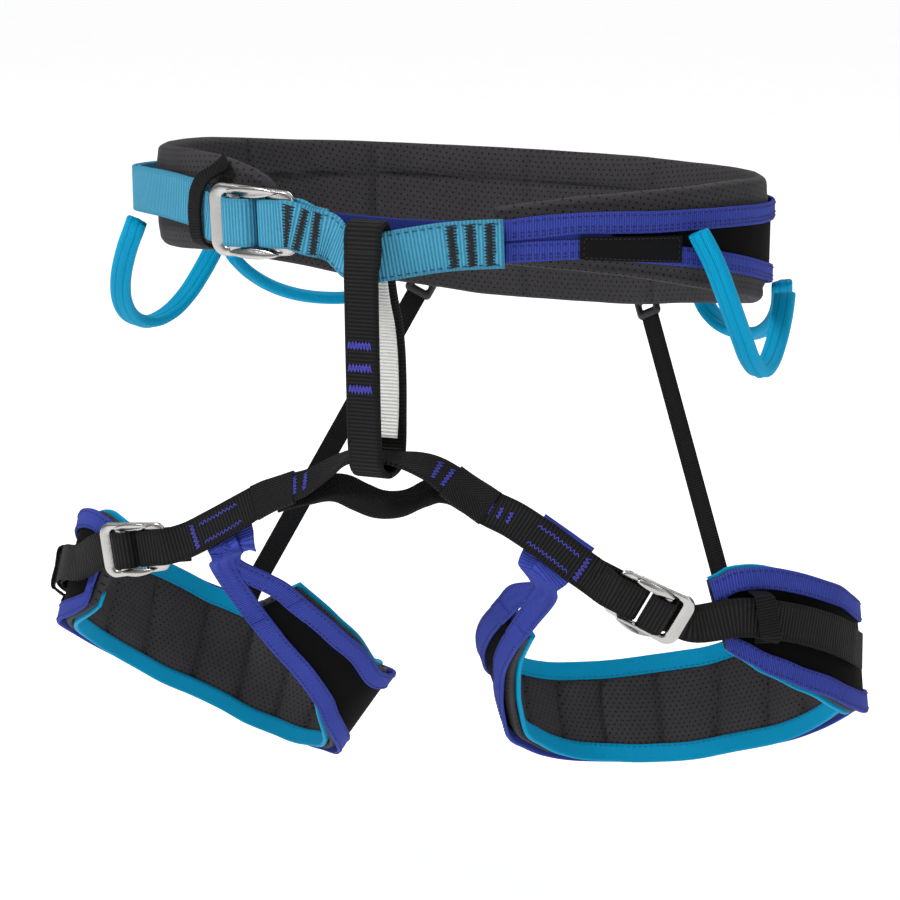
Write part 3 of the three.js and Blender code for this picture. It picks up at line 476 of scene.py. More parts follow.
def webbing_mat(name, base, pitch=1.15, depth=0.00022, chevron=0.0, width=None, edge=None, dark=0.62, light=1.18, sheen=0.03, rough=0.78, fine=1.0, lines=None):
    """ribs across the strap, fine yarn along it, tone that wanders a little"""
    g = G(name)
    u, v, uv = g.uv()
    vv = g.math("ABSOLUTE", v)
    lean = g.math("MULTIPLY", vv, chevron)
    pu = g.math("ADD", g.math("DIVIDE", u, pitch * MM), g.math("DIVIDE", lean, pitch * MM))
    rib = g.math("MULTIPLY", g.math("SINE", g.math("MULTIPLY", pu, 2 * math.pi)), 0.5)
    rib = g.math("ADD", rib, 0.5)
    yarn = g.math("ADD", g.math("MULTIPLY", g.math("SINE", g.math("MULTIPLY", v, 2 * math.pi / (0.62 * MM))), 0.5), 0.5)
    nz = g.noise(uv, 900.0, 4.0)
    wide = g.noise(g.obj(), 26.0, 2.0)
    h = g.math("ADD", g.math("MULTIPLY", rib, 0.75), g.math("MULTIPLY", yarn, 0.16 * fine))
    h = g.math("ADD", h, g.math("MULTIPLY", nz, 0.35 * fine))
    # tone follows the ribs, crests painted lighter and troughs darker in step with the bump: painted highlight and
    # shade on the ribs, plus random tone from the noise
    tone = g.math("ADD", g.math("MULTIPLY", rib, 0.55), g.math("MULTIPLY", nz, 0.3))
    tone = g.math("ADD", tone, g.math("MULTIPLY", wide, 0.3))
    tone = g.math("SUBTRACT", tone, 0.08, clamp=True)
    col = g.ramp(tone, [(0.0, mul(base, dark)), (0.5, base), (1.0, mul(base, light))])
    if width and edge:
        # a selvedge of another tone along both edges
        e = g.math("GREATER_THAN", vv, (width / 2 - edge) * MM)
        col = g.mix(g.math("MULTIPLY", e, 0.55), col, mul(base, 0.72))
    if lines:
        e = g.math("SUBTRACT", 1.0, g.math("DIVIDE", g.math("ABSOLUTE", g.math("SUBTRACT", vv, lines * MM)), 0.42 * MM, clamp=True), clamp=True)
        col = g.mix(g.math("MULTIPLY", e, 0.6), col, mul(base, 0.45))
        h = g.math("SUBTRACT", h, g.math("MULTIPLY", e, 1.2))
    g.bump(h, depth)
    return g.done(col, g.math("ADD", g.math("MULTIPLY", nz, 0.14), rough - 0.07), sheen=0.0, spec=0.08)


def foam_mat(name, base, pitch=3.2, r=0.44, sheen=0.04):
    """knitted fabric over foam with small punched holes in staggered rows"""
    g = G(name)
    u, v, uv = g.uv()
    p = pitch * MM
    row = g.math("FLOOR", g.math("DIVIDE", v, p * 0.72))
    odd = g.math("MULTIPLY", g.math("FLOORED_MODULO", row, 2.0), 0.5)
    cu = g.math("SUBTRACT", g.math("FRACT", g.math("ADD", g.math("DIVIDE", u, p), odd)), 0.5)
    cv = g.math("SUBTRACT", g.math("FRACT", g.math("DIVIDE", v, p * 0.72)), 0.5)
    cu = g.math("MULTIPLY", cu, pitch)
    cv = g.math("MULTIPLY", cv, pitch * 0.72)
    d = g.math("SQRT", g.math("ADD", g.math("MULTIPLY", cu, cu), g.math("MULTIPLY", cv, cv)))
    hole = g.math("SUBTRACT", 1.0, g.math("DIVIDE", g.math("SUBTRACT", d, r * 0.55), r * 0.6, clamp=True), clamp=True)
    nz = g.noise(uv, 1500.0, 3.0)
    mid = g.noise(g.obj(), 320.0, 3.0)
    wide = g.noise(g.obj(), 20.0, 3.0)
    tone = g.math("ADD", g.math("MULTIPLY", nz, 0.35), g.math("ADD", g.math("MULTIPLY", wide, 0.4), g.math("MULTIPLY", mid, 0.25)))
    col = g.ramp(tone, [(0.25, mul(base, 0.72)), (0.5, base), (0.78, mul(base, 1.35))])
    # the punched holes are painted near-black: painted shade inside the holes
    col = g.mix(g.math("MULTIPLY", hole, 0.94), col, mul(base, 0.08))
    h = g.math("SUBTRACT", g.math("ADD", g.math("MULTIPLY", nz, 0.22), g.math("MULTIPLY", mid, 0.25)), g.math("MULTIPLY", hole, 0.9))
    g.bump(h, 0.0004)
    return g.done(col, g.math("ADD", g.math("MULTIPLY", nz, 0.12), 0.66), sheen=0.0, spec=0.14)


def fabric_mat(name, base, pitch=0.55, depth=0.00012, rough=0.8, sheen=0.03, twill=0.0, spec=0.2):
    """plain or twill weave"""
    g = G(name)
    u, v, uv = g.uv()
    a = g.math("ADD", u, g.math("MULTIPLY", v, twill))
    s1 = g.math("SINE", g.math("MULTIPLY", a, 2 * math.pi / (pitch * MM)))
    s2 = g.math("SINE", g.math("MULTIPLY", v, 2 * math.pi / (pitch * MM)))
    w = g.math("ADD", g.math("MULTIPLY", g.math("MULTIPLY", s1, s2), 0.5), 0.5)
    nz = g.noise(uv, 1300.0, 4.0)
    wide = g.noise(g.obj(), 24.0, 3.0)
    # the weave crossings are painted lighter than the gaps in step with the bump: painted shade in the weave, plus
    # random tone from the noise
    tone = g.math("ADD", g.math("MULTIPLY", w, 0.3), g.math("ADD", g.math("MULTIPLY", nz, 0.35), g.math("MULTIPLY", wide, 0.4)))
    col = g.ramp(tone, [(0.2, mul(base, 0.68)), (0.5, base), (0.85, mul(base, 1.3))])
    g.bump(g.math("ADD", g.math("MULTIPLY", w, 0.7), g.math("MULTIPLY", nz, 0.5)), depth)
    return g.done(col, g.math("ADD", g.math("MULTIPLY", nz, 0.12), rough - 0.06), sheen=0.0, spec=min(spec, 0.08))


def metal_mat(name, base):
    g = G(name)
    o = g.obj()
    n1 = g.noise(o, 60.0, 3.0)
    mp = g.n("ShaderNodeMapping")
    g.put(mp.inputs["Vector"], o)
    mp.inputs["Scale"].default_value = (1.0, 1.0, 26.0)
    n2 = g.noise(mp.outputs[0], 70.0, 4.0)
    col = g.ramp(n1, [(0.3, mul(base, 0.86)), (0.7, mul(base, 1.05))])
    g.bump(g.math("ADD", g.math("MULTIPLY", n2, 0.4), g.math("MULTIPLY", n1, 0.8)), 0.00016, 0.5)
    return g.done(col, g.math("ADD", g.math("MULTIPLY", n2, 0.16), 0.13), metallic=1.0, spec=0.5)


def plastic_mat(name, base, rough=0.42):
    g = G(name)
    o = g.obj()
    n1 = g.noise(o, 700.0, 3.0)
    n2 = g.noise(o, 30.0, 2.0)
    col = g.ramp(g.math("ADD", g.math("MULTIPLY", n1, 0.4), g.math("MULTIPLY", n2, 0.6)), [(0.3, mul(base, 0.85)), (0.7, mul(base, 1.2))])
    g.bump(n1, 0.00006)
    return g.done(col, g.math("ADD", g.math("MULTIPLY", n1, 0.14), rough - 0.07))


def thread_mat(name, base):
    g = G(name)
    o = g.obj()
    n1 = g.noise(o, 2600.0, 2.0)
    col = g.ramp(n1, [(0.3, mul(base, 0.7)), (0.7, mul(base, 1.3))])
    g.bump(n1, 0.00008)
    return g.done(col, g.math("ADD", g.math("MULTIPLY", n1, 0.15), 0.55), spec=0.4)


C_FOAM = (0.036, 0.0335, 0.0355)
C_INDIGO = (0.04, 0.06, 0.34)
C_CYAN = (0.072, 0.34, 0.52)
C_GEAR = (0.0, 0.32, 0.57)
C_TEAL = (0.0, 0.26, 0.47)
C_BLACK = (0.0125, 0.0125, 0.0132)

M = {
    "foam": foam_mat("foam_fabric", C_FOAM),
    "foam_leg": foam_mat("foam_fabric_leg", mul(C_FOAM, 0.95), pitch=2.9, r=0.42),
    "edge": fabric_mat("foam_edge_fabric", mul(C_FOAM, 1.02), pitch=0.5, sheen=0.3, rough=0.85),
    "fabric": fabric_mat("black_fabric", (0.0034, 0.0034, 0.0038), pitch=0.6, sheen=0.12, rough=0.82, spec=0.035),
    "indigo": webbing_mat("indigo_webbing", C_INDIGO, pitch=1.05, depth=0.0004, dark=0.42, light=1.5, sheen=0.2),
    # darker copy of the indigo webbing: painted shade on the rear ply of the tie-in loop; the twill strip takes the
    # same darker indigo
    "indigo_dark_and_shaded": webbing_mat("indigo_webbing_dark_and_shaded", mul(C_INDIGO, 0.55), pitch=1.1, depth=0.00018, dark=0.7, light=1.25, sheen=0.1),
    "cyan": webbing_mat("cyan_webbing", C_CYAN, pitch=1.5, depth=0.0006, dark=0.3, light=1.3, sheen=0.12, width=20.0, edge=1.5),
    "black": webbing_mat("black_webbing", C_BLACK, pitch=1.6, depth=0.0006, chevron=0.0, dark=0.3, light=2.4, sheen=0.18, rough=0.66, width=16.0, edge=2.2),
    "chev": webbing_mat("black_webbing_chevron", C_BLACK, pitch=1.7, depth=0.0005, chevron=1.3, dark=0.35, light=2.2, sheen=0.18, rough=0.66),
    "elastic": webbing_mat("black_elastic", mul(C_BLACK, 0.7), pitch=1.2, depth=0.0005, dark=0.35, light=2.2, sheen=0.12, rough=0.7),
    "white": webbing_mat("white_webbing", (0.86, 0.86, 0.83), pitch=1.45, depth=0.0005, dark=0.6, light=1.1, sheen=0.1),
    "teal": fabric_mat("teal_binding", C_TEAL, pitch=0.7, depth=0.00013, sheen=0.2, twill=1.0, rough=0.62, spec=0.4),
    "gear": webbing_mat("gear_loop_cover", C_GEAR, pitch=1.0, depth=0.00016, chevron=0.8, dark=0.62, light=1.22, rough=0.62, fine=0.8, lines=1.75),
    "steel": metal_mat("polished_metal", (0.47, 0.46, 0.445)),
    "plastic": plastic_mat("black_plastic", (0.012, 0.012, 0.014)),
    "label": fabric_mat("label_fabric", (0.0048, 0.0048, 0.0054), pitch=0.45, sheen=0.05, rough=0.6, spec=0.35),
    "t_black": thread_mat("thread_black", (0.006, 0.006, 0.008)),
    "t_indigo": thread_mat("thread_indigo", (0.05, 0.05, 0.38)),
    "t_indigo_dark": thread_mat("thread_indigo_dark", (0.008, 0.01, 0.09)),
    "t_cyan_dark": thread_mat("thread_blue", (0.01, 0.05, 0.14)),
    "t_foam": thread_mat("thread_charcoal", (0.02, 0.02, 0.022)),
    "t_teal": thread_mat("thread_teal", (0.0, 0.11, 0.22)),
}


def piece(ob, body, replaces=()):
    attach(ob, body)
    if replaces:
        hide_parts(*replaces)
    return ob


# ------------------------------------------------------------------- belt
def pad_section(nf, ne):
    """closed pad section: v across 0..1, k through -1..1, rounded edges"""
    pts = []
    e = 0.075
    for v in np.linspace(e, 1 - e, nf):
        pts.append((v, 1.0))
    for a in np.linspace(90, -90, ne)[1:-1]:
        pts.append((1 - e + e * math.cos(math.radians(a)), math.sin(math.radians(a))))
    for v in np.linspace(1 - e, e, nf):
        pts.append((v, -1.0))
    for a in np.linspace(270, 90, ne)[1:-1]:
        pts.append((e + e * math.cos(math.radians(a)), math.sin(math.radians(a))))
    return np.array(pts)


def groove(x, c, w):
    return np.exp(-((x - c) / w) ** 2)


def waist_pad():
    s = np.concatenate([np.linspace(22, 25, 9)[:-1], np.linspace(25, 337, 300), np.linspace(337, 340.5, 11)[1:]])
    sec = pad_section(26, 11)
    v, k = sec[:, 0], sec[:, 1]
    zt, zb = look(BELT, s, 1), look(BELT, s, 2)
    # arc length round the mid surface, for the weave and the seams
    mid = shell(s, 0.0, 0.0)
    arc = np.concatenate([[0], np.cumsum(np.linalg.norm(np.diff(mid, axis=0), axis=1))])
    H = zt - zb
    end = np.minimum(np.clip((s - 22) / 2.6, 0, 1), np.clip((340.5 - s) / 2.8, 0, 1))
    endk = np.sqrt(np.clip(1 - (1 - end) ** 2, 0.02, 1))
    Z = zb[:, None] + H[:, None] * v[None, :]
    dt, db = (1 - v)[None, :] * H[:, None], v[None, :] * H[:, None]
    half = np.full(Z.shape, 4.0)
    inside = (k < 0)[None, :]
    outside = ~inside
    # inside: one seam along the belt and a few upright channels
    seam_z = look([(22, 12), (60, 8), (110, 3), (150, 3.6), (180, 3.8), (220, 6.5), (260, 10), (300, 16), (340, 17)], s)
    gi = 3.3 * groove(Z, seam_z[:, None], 1.3)
    for c in (108, 150, 180, 214, 246):
        gi = np.maximum(gi, 2.4 * groove((s[:, None] - c) * 2.1, 0, 1.4) * np.clip(dt / 3, 0, 1))
    # soft puff between the seams
    puff = 0.9 * np.sin(np.clip(dt / 18, 0, 1) * math.pi) + 0.5 * np.clip((dt - 18) / 6, 0, 1) * np.clip(db / 9, 0, 1) + 0.3 * np.sin(s[:, None] * 0.31 + v[None, :] * 4) * 0.6
    half = half + np.where(inside, puff - gi, 0)
    # outside: a lip above the upper tape and below the lower one
    lip = look([(22, 21), (30, 23.5), (53, 23), (90, 17.5), (180, 9.5), (262, 19)], np.minimum(s, 262))
    out_g = 0.6 * groove(Z, (lip + 2.0)[:, None], 1.2) * (s < 262)[:, None]
    low = look([(22, 3), (36, 3.6), (53, -0.6), (75, -10), (90, -17), (120, -31), (150, -42), (180, -47), (210, -41), (240, -28), (262, -17)], np.minimum(s, 262))
    lowg = 0.9 * groove(Z, (low - 1.6)[:, None], 1.3) * (s < 262)[:, None]
    for c in (150, 205):
        lowg = np.maximum(lowg, 1.2 * groove((s[:, None] - c) * 2.1, 0, 1.2) * (Z < low[:, None]))
    half = half - np.where(outside, out_g + lowg, 0)
    # thin near the edges with a raised rolled hem
    edge = np.minimum(dt, db)
    roll = 1 - 0.34 * np.clip(1 - edge / 9.0, 0, 1) ** 1.2 + 0.1 * groove(edge, 1.5, 1.3)
    half = half * roll * endk[:, None]
    wav = 0.35 * np.sin(s * 0.23) + 0.25 * np.sin(s * 0.61 + 1.0)
    O = k[None, :] * half + wav[:, None] * np.clip(1 - edge / 22.0, 0, 1) * 0.7
    pts = shell(s[:, None], Z, O)
    pv = np.append(v, v[0])
    uv = np.empty((len(s), len(sec) + 1, 2))
    uv[..., 0] = arc[:, None]
    uv[..., 1] = pv[None, :] * H[:, None]
    # the two faces share v, so the inner one is shifted to break the match
    kk = np.append(k, k[0])
    uv[..., 1] += np.where(kk < 0, 1.3, 0)[None, :]
    ob = loft("waist_pad_fabric", pts, uv, mat=M["foam"])
    piece(ob, "waist", ["waist_pad"])
    # thread in the seams
    ss = np.linspace(60, 332, 500)
    zz = look([(22, 12), (60, 8), (110, 3), (150, 3.6), (180, 3.8), (220, 6.5), (260, 10), (300, 16), (340, 17)], ss)
    path = shell(ss, zz, -2.15)
    nn = -unit(shell(ss, zz, 1.0) - shell(ss, zz, 0.0))
    t = threads("waist_pad_seam_threads", run_stitch(path, nn, 2.0, 1.0), 0.22, M["t_foam"])
    piece(t, "waist")
    return ob


def shell_band(name, s0, s1, n, lo, hi, o0, o1, mat, round_edges=0.5, body="waist", replaces=(), bulge=0.0, ends=True):
    """a strap lying on the belt, with rounded edges"""
    s = np.linspace(s0, s1, n)
    t = o1 - o0
    ref = 10.0
    sec = section_rect(ref, t, min(round_edges, t * 0.48), 10)
    a, b = lo(s), hi(s)
    w = b - a
    x = sec[:, 0][None, :] / ref
    # edge radius stays true while the middle stretches
    r = min(round_edges, t * 0.48)
    xx = np.where(np.abs(sec[:, 0]) > ref/2 - r - 1e-6, 1, 0)[None, :]
    zc = (a + b)[:, None] / 2
    inner = sec[:, 0][None, :] * ((w[:, None] / 2 - r) / (ref/2 - r))
    outer = np.sign(sec[:, 0])[None, :] * (w[:, None] / 2 - ref/2 + np.abs(sec[:, 0])[None, :])
    X = np.where(xx == 1, outer, inner)
    Z = zc + X
    O = (o0 + o1) / 2 + sec[:, 1][None, :] + bulge * (1 - (2 * X / w[:, None]) ** 2)
    pts = shell(s[:, None], Z, O)
    mid = shell(s, 0.0, (o0 + o1) / 2)
    arc = np.concatenate([[0], np.cumsum(np.linalg.norm(np.diff(mid, axis=0), axis=1))])
    uv = np.empty((n, len(sec) + 1, 2))
    uv[..., 0] = arc[:, None]
    uv[:, :-1, 1] = X
    uv[:, -1, 1] = X[:, 0]
    ob = loft(name, pts, uv, mat=mat)
    return piece(ob, body, replaces)


def belt_line(s0, s1, n, z, o):
    s = np.linspace(s0, s1, n)
    zz = z(s)
    p = shell(s, zz, o)
    nn = unit(shell(s, zz, o + 1.0) - p)
    return p, nn


def waist_belt():
    waist_pad()
    shell_band("waist_outer_cover", 44, 262, 180, lambda s: look(TAPE_LO, s, 1) - 4, lambda s: look(TAPE_UP, s, 2) + 4, 4.25, 5.2, M["fabric"],
               0.4, replaces=["waist_outer_panel"])
    up0, up1 = (lambda s: look(TAPE_UP, s, 2)), (lambda s: look(TAPE_UP, s, 1))
    lo0, lo1 = (lambda s: look(TAPE_LO, s, 2)), (lambda s: look(TAPE_LO, s, 1))
    shell_band("waist_tape_upper_web", 23.7, 262, 220, up0, up1, 5.3, 6.9, M["indigo"], 0.7, replaces=["waist_tape_upper"])
    shell_band("waist_tape_lower_web", 23.7, 262, 220, lo0, lo1, 5.3, 6.9, M["indigo"], 0.7, replaces=["waist_tape_lower"])
    seg = []
    for f0, f1 in ((up0, up1), (lo0, lo1)):
        for d in (1.5, 3.0):
            for side in (0, 1):
                if d == 3.0 and side == 1:
                    continue
                z = (lambda s, d=d, side=side, f0=f0, f1=f1: (f0(s) + d) if side == 0 else (f1(s) - d))
                p, nn = belt_line(25, 261, 700, z, 6.95)
                seg += run_stitch(p, nn, 1.9, 1.0)
    piece(threads("waist_tape_stitches", seg, 0.27, M["t_indigo_dark"]), "waist")
    shell_band("waist_twill_strip", 23.9, 43, 60, lambda s: look(TAPE_LO, s, 1) - 0.6, lambda s: look(TAPE_UP, s, 2) + 0.6, 4.95, 5.9, M["indigo_dark_and_shaded"], 0.3)
    # plain label
    f = lambda a, b: (lambda s: a + (b - a) * (s - 37) / 20.5)
    shell_band("waist_label_plain", 37, 57.5, 40, f(5.6, 1.2), f(14.9, 12.6), 7.2, 8.0, M["label"], 0.35, replaces=["waist_label"], bulge=0.12)
    seg = []
    for z, s0, s1 in ((f(6.5, 2.1), 37.7, 56.8), (f(14.0, 11.7), 37.7, 56.8)):
        p, nn = belt_line(s0, s1, 60, z, 8.1)
        seg += run_stitch(p, nn, 1.3, 0.7)
    for sc in (37.7, 56.8):
        zz = np.linspace(float(f(6.5, 2.1)(sc)), float(f(14.0, 11.7)(sc)), 10)
        p = shell(np.full(10, sc), zz, 8.1)
        nn = unit(shell(np.full(10, sc), zz, 9.1) - p)
        seg += run_stitch(p, nn, 1.3, 0.7)
    piece(threads("waist_label_stitches", seg, 0.16, M["t_foam"]), "waist")


# ---------------------------------------------------------------- buckles
class Frame3:
    def __init__(self, o, u, v):
        self.o = np.array(o, float)
        self.u = unit(u)
        v = np.array(v, float)
        self.v = unit(v - self.u * np.dot(v, self.u))
        n = np.cross(self.u, self.v)
        if n[1] > 0:
            n = -n
        self.n = unit(n)

    def P(self, a, b, o):
        return self.o + self.u * a + self.v * b + self.n * o

    def row(self, a, o):
        return (self.P(a, 0, o), self.v)


def rounded_loop(x0, y0, x1, y1, r, n=8):
    """points round a rectangle with corner radii r = (lower left, lower right, upper right, upper left)"""
    out = []
    for (cx, cy, a0, rr) in ((x1 - r[1], y0 + r[1], -90, r[1]), (x1 - r[2], y1 - r[2], 0, r[2]), (x0 + r[3], y1 - r[3], 90, r[3]), (x0 + r[0], y0 + r[0], 180, r[0])):
        for k in range(n + 1):
            a = math.radians(a0 + 90 * k / n)
            out.append((cx + rr * math.cos(a), cy + rr * math.sin(a)))
    return np.array(out)


def buckle(name, fr, d, body, slide_body, node):
    """stamped frame with rounded, rolled rails, and the slide block"""
    L, H, bar, win, half, t = d["L"], d["H"], d["bar"], d["win"], d["half"], d["t"]
    R = bar * 0.95
    outer = rounded_loop(0, -H/2, L, H/2, (R, R * 0.62, R * 0.62, R), 9)
    inner = rounded_loop(bar, -half, win, half, (1.6, 1.2, 1.2, 1.6), 9)
    for q, amt in ((outer, 0.15), (inner, 0.05)):
        f = np.clip((q[:, 0] - L * 0.42) / (L * 0.58), 0, 1)
        q[:, 1] *= 1 - amt * f * f * (3 - 2 * f)
    # the rails dip toward the strap side and rise at the fixed end
    def camber(x):
        q = (x - L * 0.45) / (L * 0.55)
        return 0.5 * q * q - 0.2
    rings = []
    def ring(w, h, top=True):
        loop = outer * (1 - w) + inner * w
        o = np.array([h + camber(p[0]) * 0.55 for p in loop])
        rings.append(np.array([fr.P(p[0], p[1], q) for p, q in zip(loop, o)]))
    # section of the ring, outer edge round, over the top and down into the window
    steps = 9
    prof = []
    for i in range(steps + 1):
        a = math.pi * i / steps
        w = 0.5 - 0.5 * math.cos(a)
        prof.append((w, t * (0.28 + 0.66 * math.sin(a) ** 0.45)))
    for i in range(1, steps):
        a = math.pi * (1 - i / steps)
        w = 0.5 - 0.5 * math.cos(a)
        prof.append((w, t * (0.26 - 0.22 * math.sin(a) ** 0.6)))
    for w, h in prof:
        ring(w, h)
    pts = np.array(rings)
    pts = np.transpose(pts, (1, 0, 2))     # round the loop, then the section
    uv = np.zeros((pts.shape[0] + 1, pts.shape[1] + 1, 2))
    ob = loft(name + "_frame_metal", pts, uv, closed_u=True, mat=M["steel"])
    sub = ob.modifiers.new("smooth", "SUBSURF")
    sub.levels = sub.render_levels = 1
    piece(ob, body, [node + "_frame"])
    # slide block: a bar across the window and a long leaf over each rail
    bar0 = bar + 4.6
    bar1 = bar0 + (6 if L > 40 else 4.6)
    e0, e1 = bar0 - 0.4, L - 7
    st = d["slideT"]
    z0 = t + 0.45
    parts_v, parts_f = [], []

    def add_prism(loop, lo, hi, crown=0.0):
        """rounded plate: outline loop, base lo, top hi, with a soft shoulder"""
        c = loop.mean(0)
        base = len(parts_v)
        n = len(loop)
        levels = [(lo, 0.86), (lo + 0.25 * (hi - lo), 1.0), (lo + 0.62 * (hi - lo), 1.0), (lo + 0.9 * (hi - lo), 0.9), (hi, 0.72)]
        for zz, k in levels:
            inset = (1 - k) * min(H * 0.09, 1.6)
            for p in loop:
                dxy = c - p
                dd = dxy / (np.linalg.norm(dxy) + 1e-9)
                q = p + dd * inset
                parts_v.append(fr.P(q[0], q[1], zz + crown * (1 - abs(q[0] - c[0]) / (abs(e1 - e0) / 2 + 1e-6))))
        for k in range(len(levels) - 1):
            for j in range(n):
                j2 = (j + 1) % n
                parts_f.append([base + k*n + j, base + k*n + j2, base + (k+1)*n + j2, base + (k+1)*n + j])
        parts_f.append([base + j for j in range(n)][::-1])
        parts_f.append([base + (len(levels)-1)*n + j for j in range(n)])
    for sgn in (-1, 1):
        # leaf outline: crescent, widest in the middle
        xs = np.linspace(e0, e1, 15)
        q = (xs - e0) / (e1 - e0)
        lift = np.sin(q * math.pi) ** 0.7
        outy = sgn * (H/2 - 2.3 + 1.8 * lift)
        iny = sgn * (H/2 - 3.0 - (H/2 - 3.0 - (half - 0.6)) * lift)
        loop = np.concatenate([np.stack([xs, outy], 1), np.stack([xs[::-1], iny[::-1]], 1)])
        add_prism(loop, z0, z0 + st, 1.1)
    xs = rounded_loop(bar0, -half - 1.4, bar1, half + 1.4, (1, 1, 1, 1), 3)
    add_prism(xs, z0, z0 + st * 0.9, 0.0)
    V = np.array(parts_v)
    if volume(V - V.mean(0), parts_f) < 0:
        parts_f = [f[::-1] for f in parts_f]
    sl = mesh_object(name + "_slide_metal", V, parts_f, np.zeros((sum(len(f) for f in parts_f), 2)), M["steel"])
    piece(sl, slide_body, [node + "_slide"])


WB = Frame3((-71.8, -101.0, 14.9), (0.975, -0.215, 0.04), (0, 0, 1))
WAIST_BUCKLE = dict(L=43, H=31, bar=7.4, win=28.6, half=10.9, t=3.4, slideT=2.0)
LEG_BUCKLE = dict(L=34, H=24.4, bar=6.0, win=22.4, half=8.8, t=2.8, slideT=1.6)


def waist_front():
    buckle("waist_buckle", WB, WAIST_BUCKLE, "waist", "waist_buckle_block", "waist_buckle")
    R = WB.row
    rows = [((-17.2, -111.4, 13.7), UP), ((-22.8, -111.2, 14.7), UP), R(43, -1.6), R(36, -1.4), R(30.2, -1.5), R(27.2, -0.8), R(26.2, 1.7), R(27.2, 4.2),
            R(30.2, 5.0), R(36, 4.9), R(42, 4.6)]
    rows += [((-22.8, -114.6, 14.4), UP), ((-16.4, -114.2, 13.4), UP), ((-12.6, -114.8, 12), UP), ((-8.9, -116.6, 9.7), UP),
             ((-4.4, -119, 7.2), UP), ((2.9, -120.2, 6.2), UP), ((10, -119.6, 7), UP),
             ((20.7, -115.6, 8.9), UP), ((33.2, -111.4, 11), UP), ((45.4, -108, 12.2), UP), ((56.8, -104.3, 12.7), UP)]
    tie = Ribbon(rows, 8)
    piece(strap("tie_in_front_web", tie, 20, 1.8, M["cyan"]), "waist", ["tie_in_front"])
    # which side of the ribbon faces outward (-Y)
    i = np.argmin(np.linalg.norm(tie.P - np.array([20.7, -115.6, 8.9]), axis=1))
    out = 1 if tie.N[i][1] < 0 else -1
    seg = []
    sB = tie.s_near(WB.P(42, 0, 4.6))
    for q, ds in enumerate((-0.4, 5.8, 12.0)):
        seg += bartack(tie, sB + ds, -9.0, 8.6, 2.1, 1.0, side=out, seed=3 + q)
    sE = tie.len
    for q, ds in enumerate((-20.5, -13.0, -5.6)):
        seg += bartack(tie, sE + ds, -8.6, 8.6, 2.4, 1.0, side=out, seed=13 + q)
    piece(threads("tie_in_bartacks", seg, 0.32, M["t_black"]), "waist")
    seg = []
    s0, s1 = sB + 14, sE - 1.2
    for v in (-8.3, 8.3):
        ss = np.linspace(s0, s1, 160)
        p = tie.at(ss, np.full(160, v), np.full(160, 0.95 * out))
        nn = unit(tie.at(ss, np.full(160, v), np.full(160, 1.95 * out)) - p)
        seg += run_stitch(p, nn, 2.1, 1.1)
    piece(threads("tie_in_edge_stitches", seg, 0.25, M["t_cyan_dark"]), "waist")
    # the rear ply takes the darker indigo copy: painted shade on a ply that lies behind the front one
    rear = Ribbon([((54.2, -102.3, 12.6), UP), ((45, -103, 11.4), UP), ((20, -103.9, 10.6), UP), ((-5, -104.7, 11), UP), ((-30, -105.4, 12.4), UP)], 12)
    piece(strap("tie_in_rear_web", rear, 19.4, 1.5, M["indigo_dark_and_shaded"]), "waist", ["tie_in_rear"])

    # waist strap
    def sz(t):
        return float(look([(-108, 8.2), (-98, 9.3), (-90, 10.5), (-80, 12.5), (-70, 14.8), (-60, 17), (-50, 18.4), (-41, 18.6), (-33, 17.6)], t))

    def sr(t, o):
        return (shell(360 + t, sz(t), o), UP)
    rows = [sr(-108, 8.4), sr(-100, 8.3), sr(-90, 9.4), sr(-80, 11.2), sr(-70, 12), sr(-60, 9.4), sr(-50, 6.8), sr(-41, 6.4), sr(-35, 7.0),
            R(-3, -3.6), R(6, -3.4), R(14, -3.4), R(19.4, -3.3), R(22.4, -1.5), R(23.3, 2.0), R(22.8, 5.3),
            R(20.8, 7.2), R(16, 7.6), R(12, 7.5), R(9.8, 5.8), R(9.3, 2.4), R(8.4, -0.6),
            R(5.2, -1.7), R(-3, -1.7),
            sr(-35, 9.1), sr(-41, 8.6), sr(-50, 9.0), sr(-60, 11.6), sr(-70, 14.2), sr(-80, 13.4), sr(-90, 11.6), sr(-97, 10.6)]
    ws = Ribbon(rows, 8)
    piece(strap("waist_strap_web", ws, 20, 1.5, M["cyan"]), "waist", ["waist_strap"])
    # keeper
    path = [(-29.4, 38.0, 5.4), (-30.4, 36.0, 6.6), (-31.5, 33.6, 8.8), (-32.8, 30.8, 11.4), (-34.2, 25.5, 12.6), (-35.0, 18, 12.7),
            (-35, 12, 12.7), (-34.8, 6.6, 12.4), (-34.6, 3.6, 11.2), (-34.4, 1.9, 9.0), (-34.2, 1.2, 6.6)]
    kr = []
    for t, z, o in path:
        p, q = shell(360 + t - 2, z, o), shell(360 + t + 2, z, o)
        kr.append((shell(360 + t, z, o), unit(q - p)))
    piece(strap("waist_strap_keeper_elastic", Ribbon(kr, 6), 8.4, 1.5, M["elastic"]), "waist", ["waist_strap_keeper"])


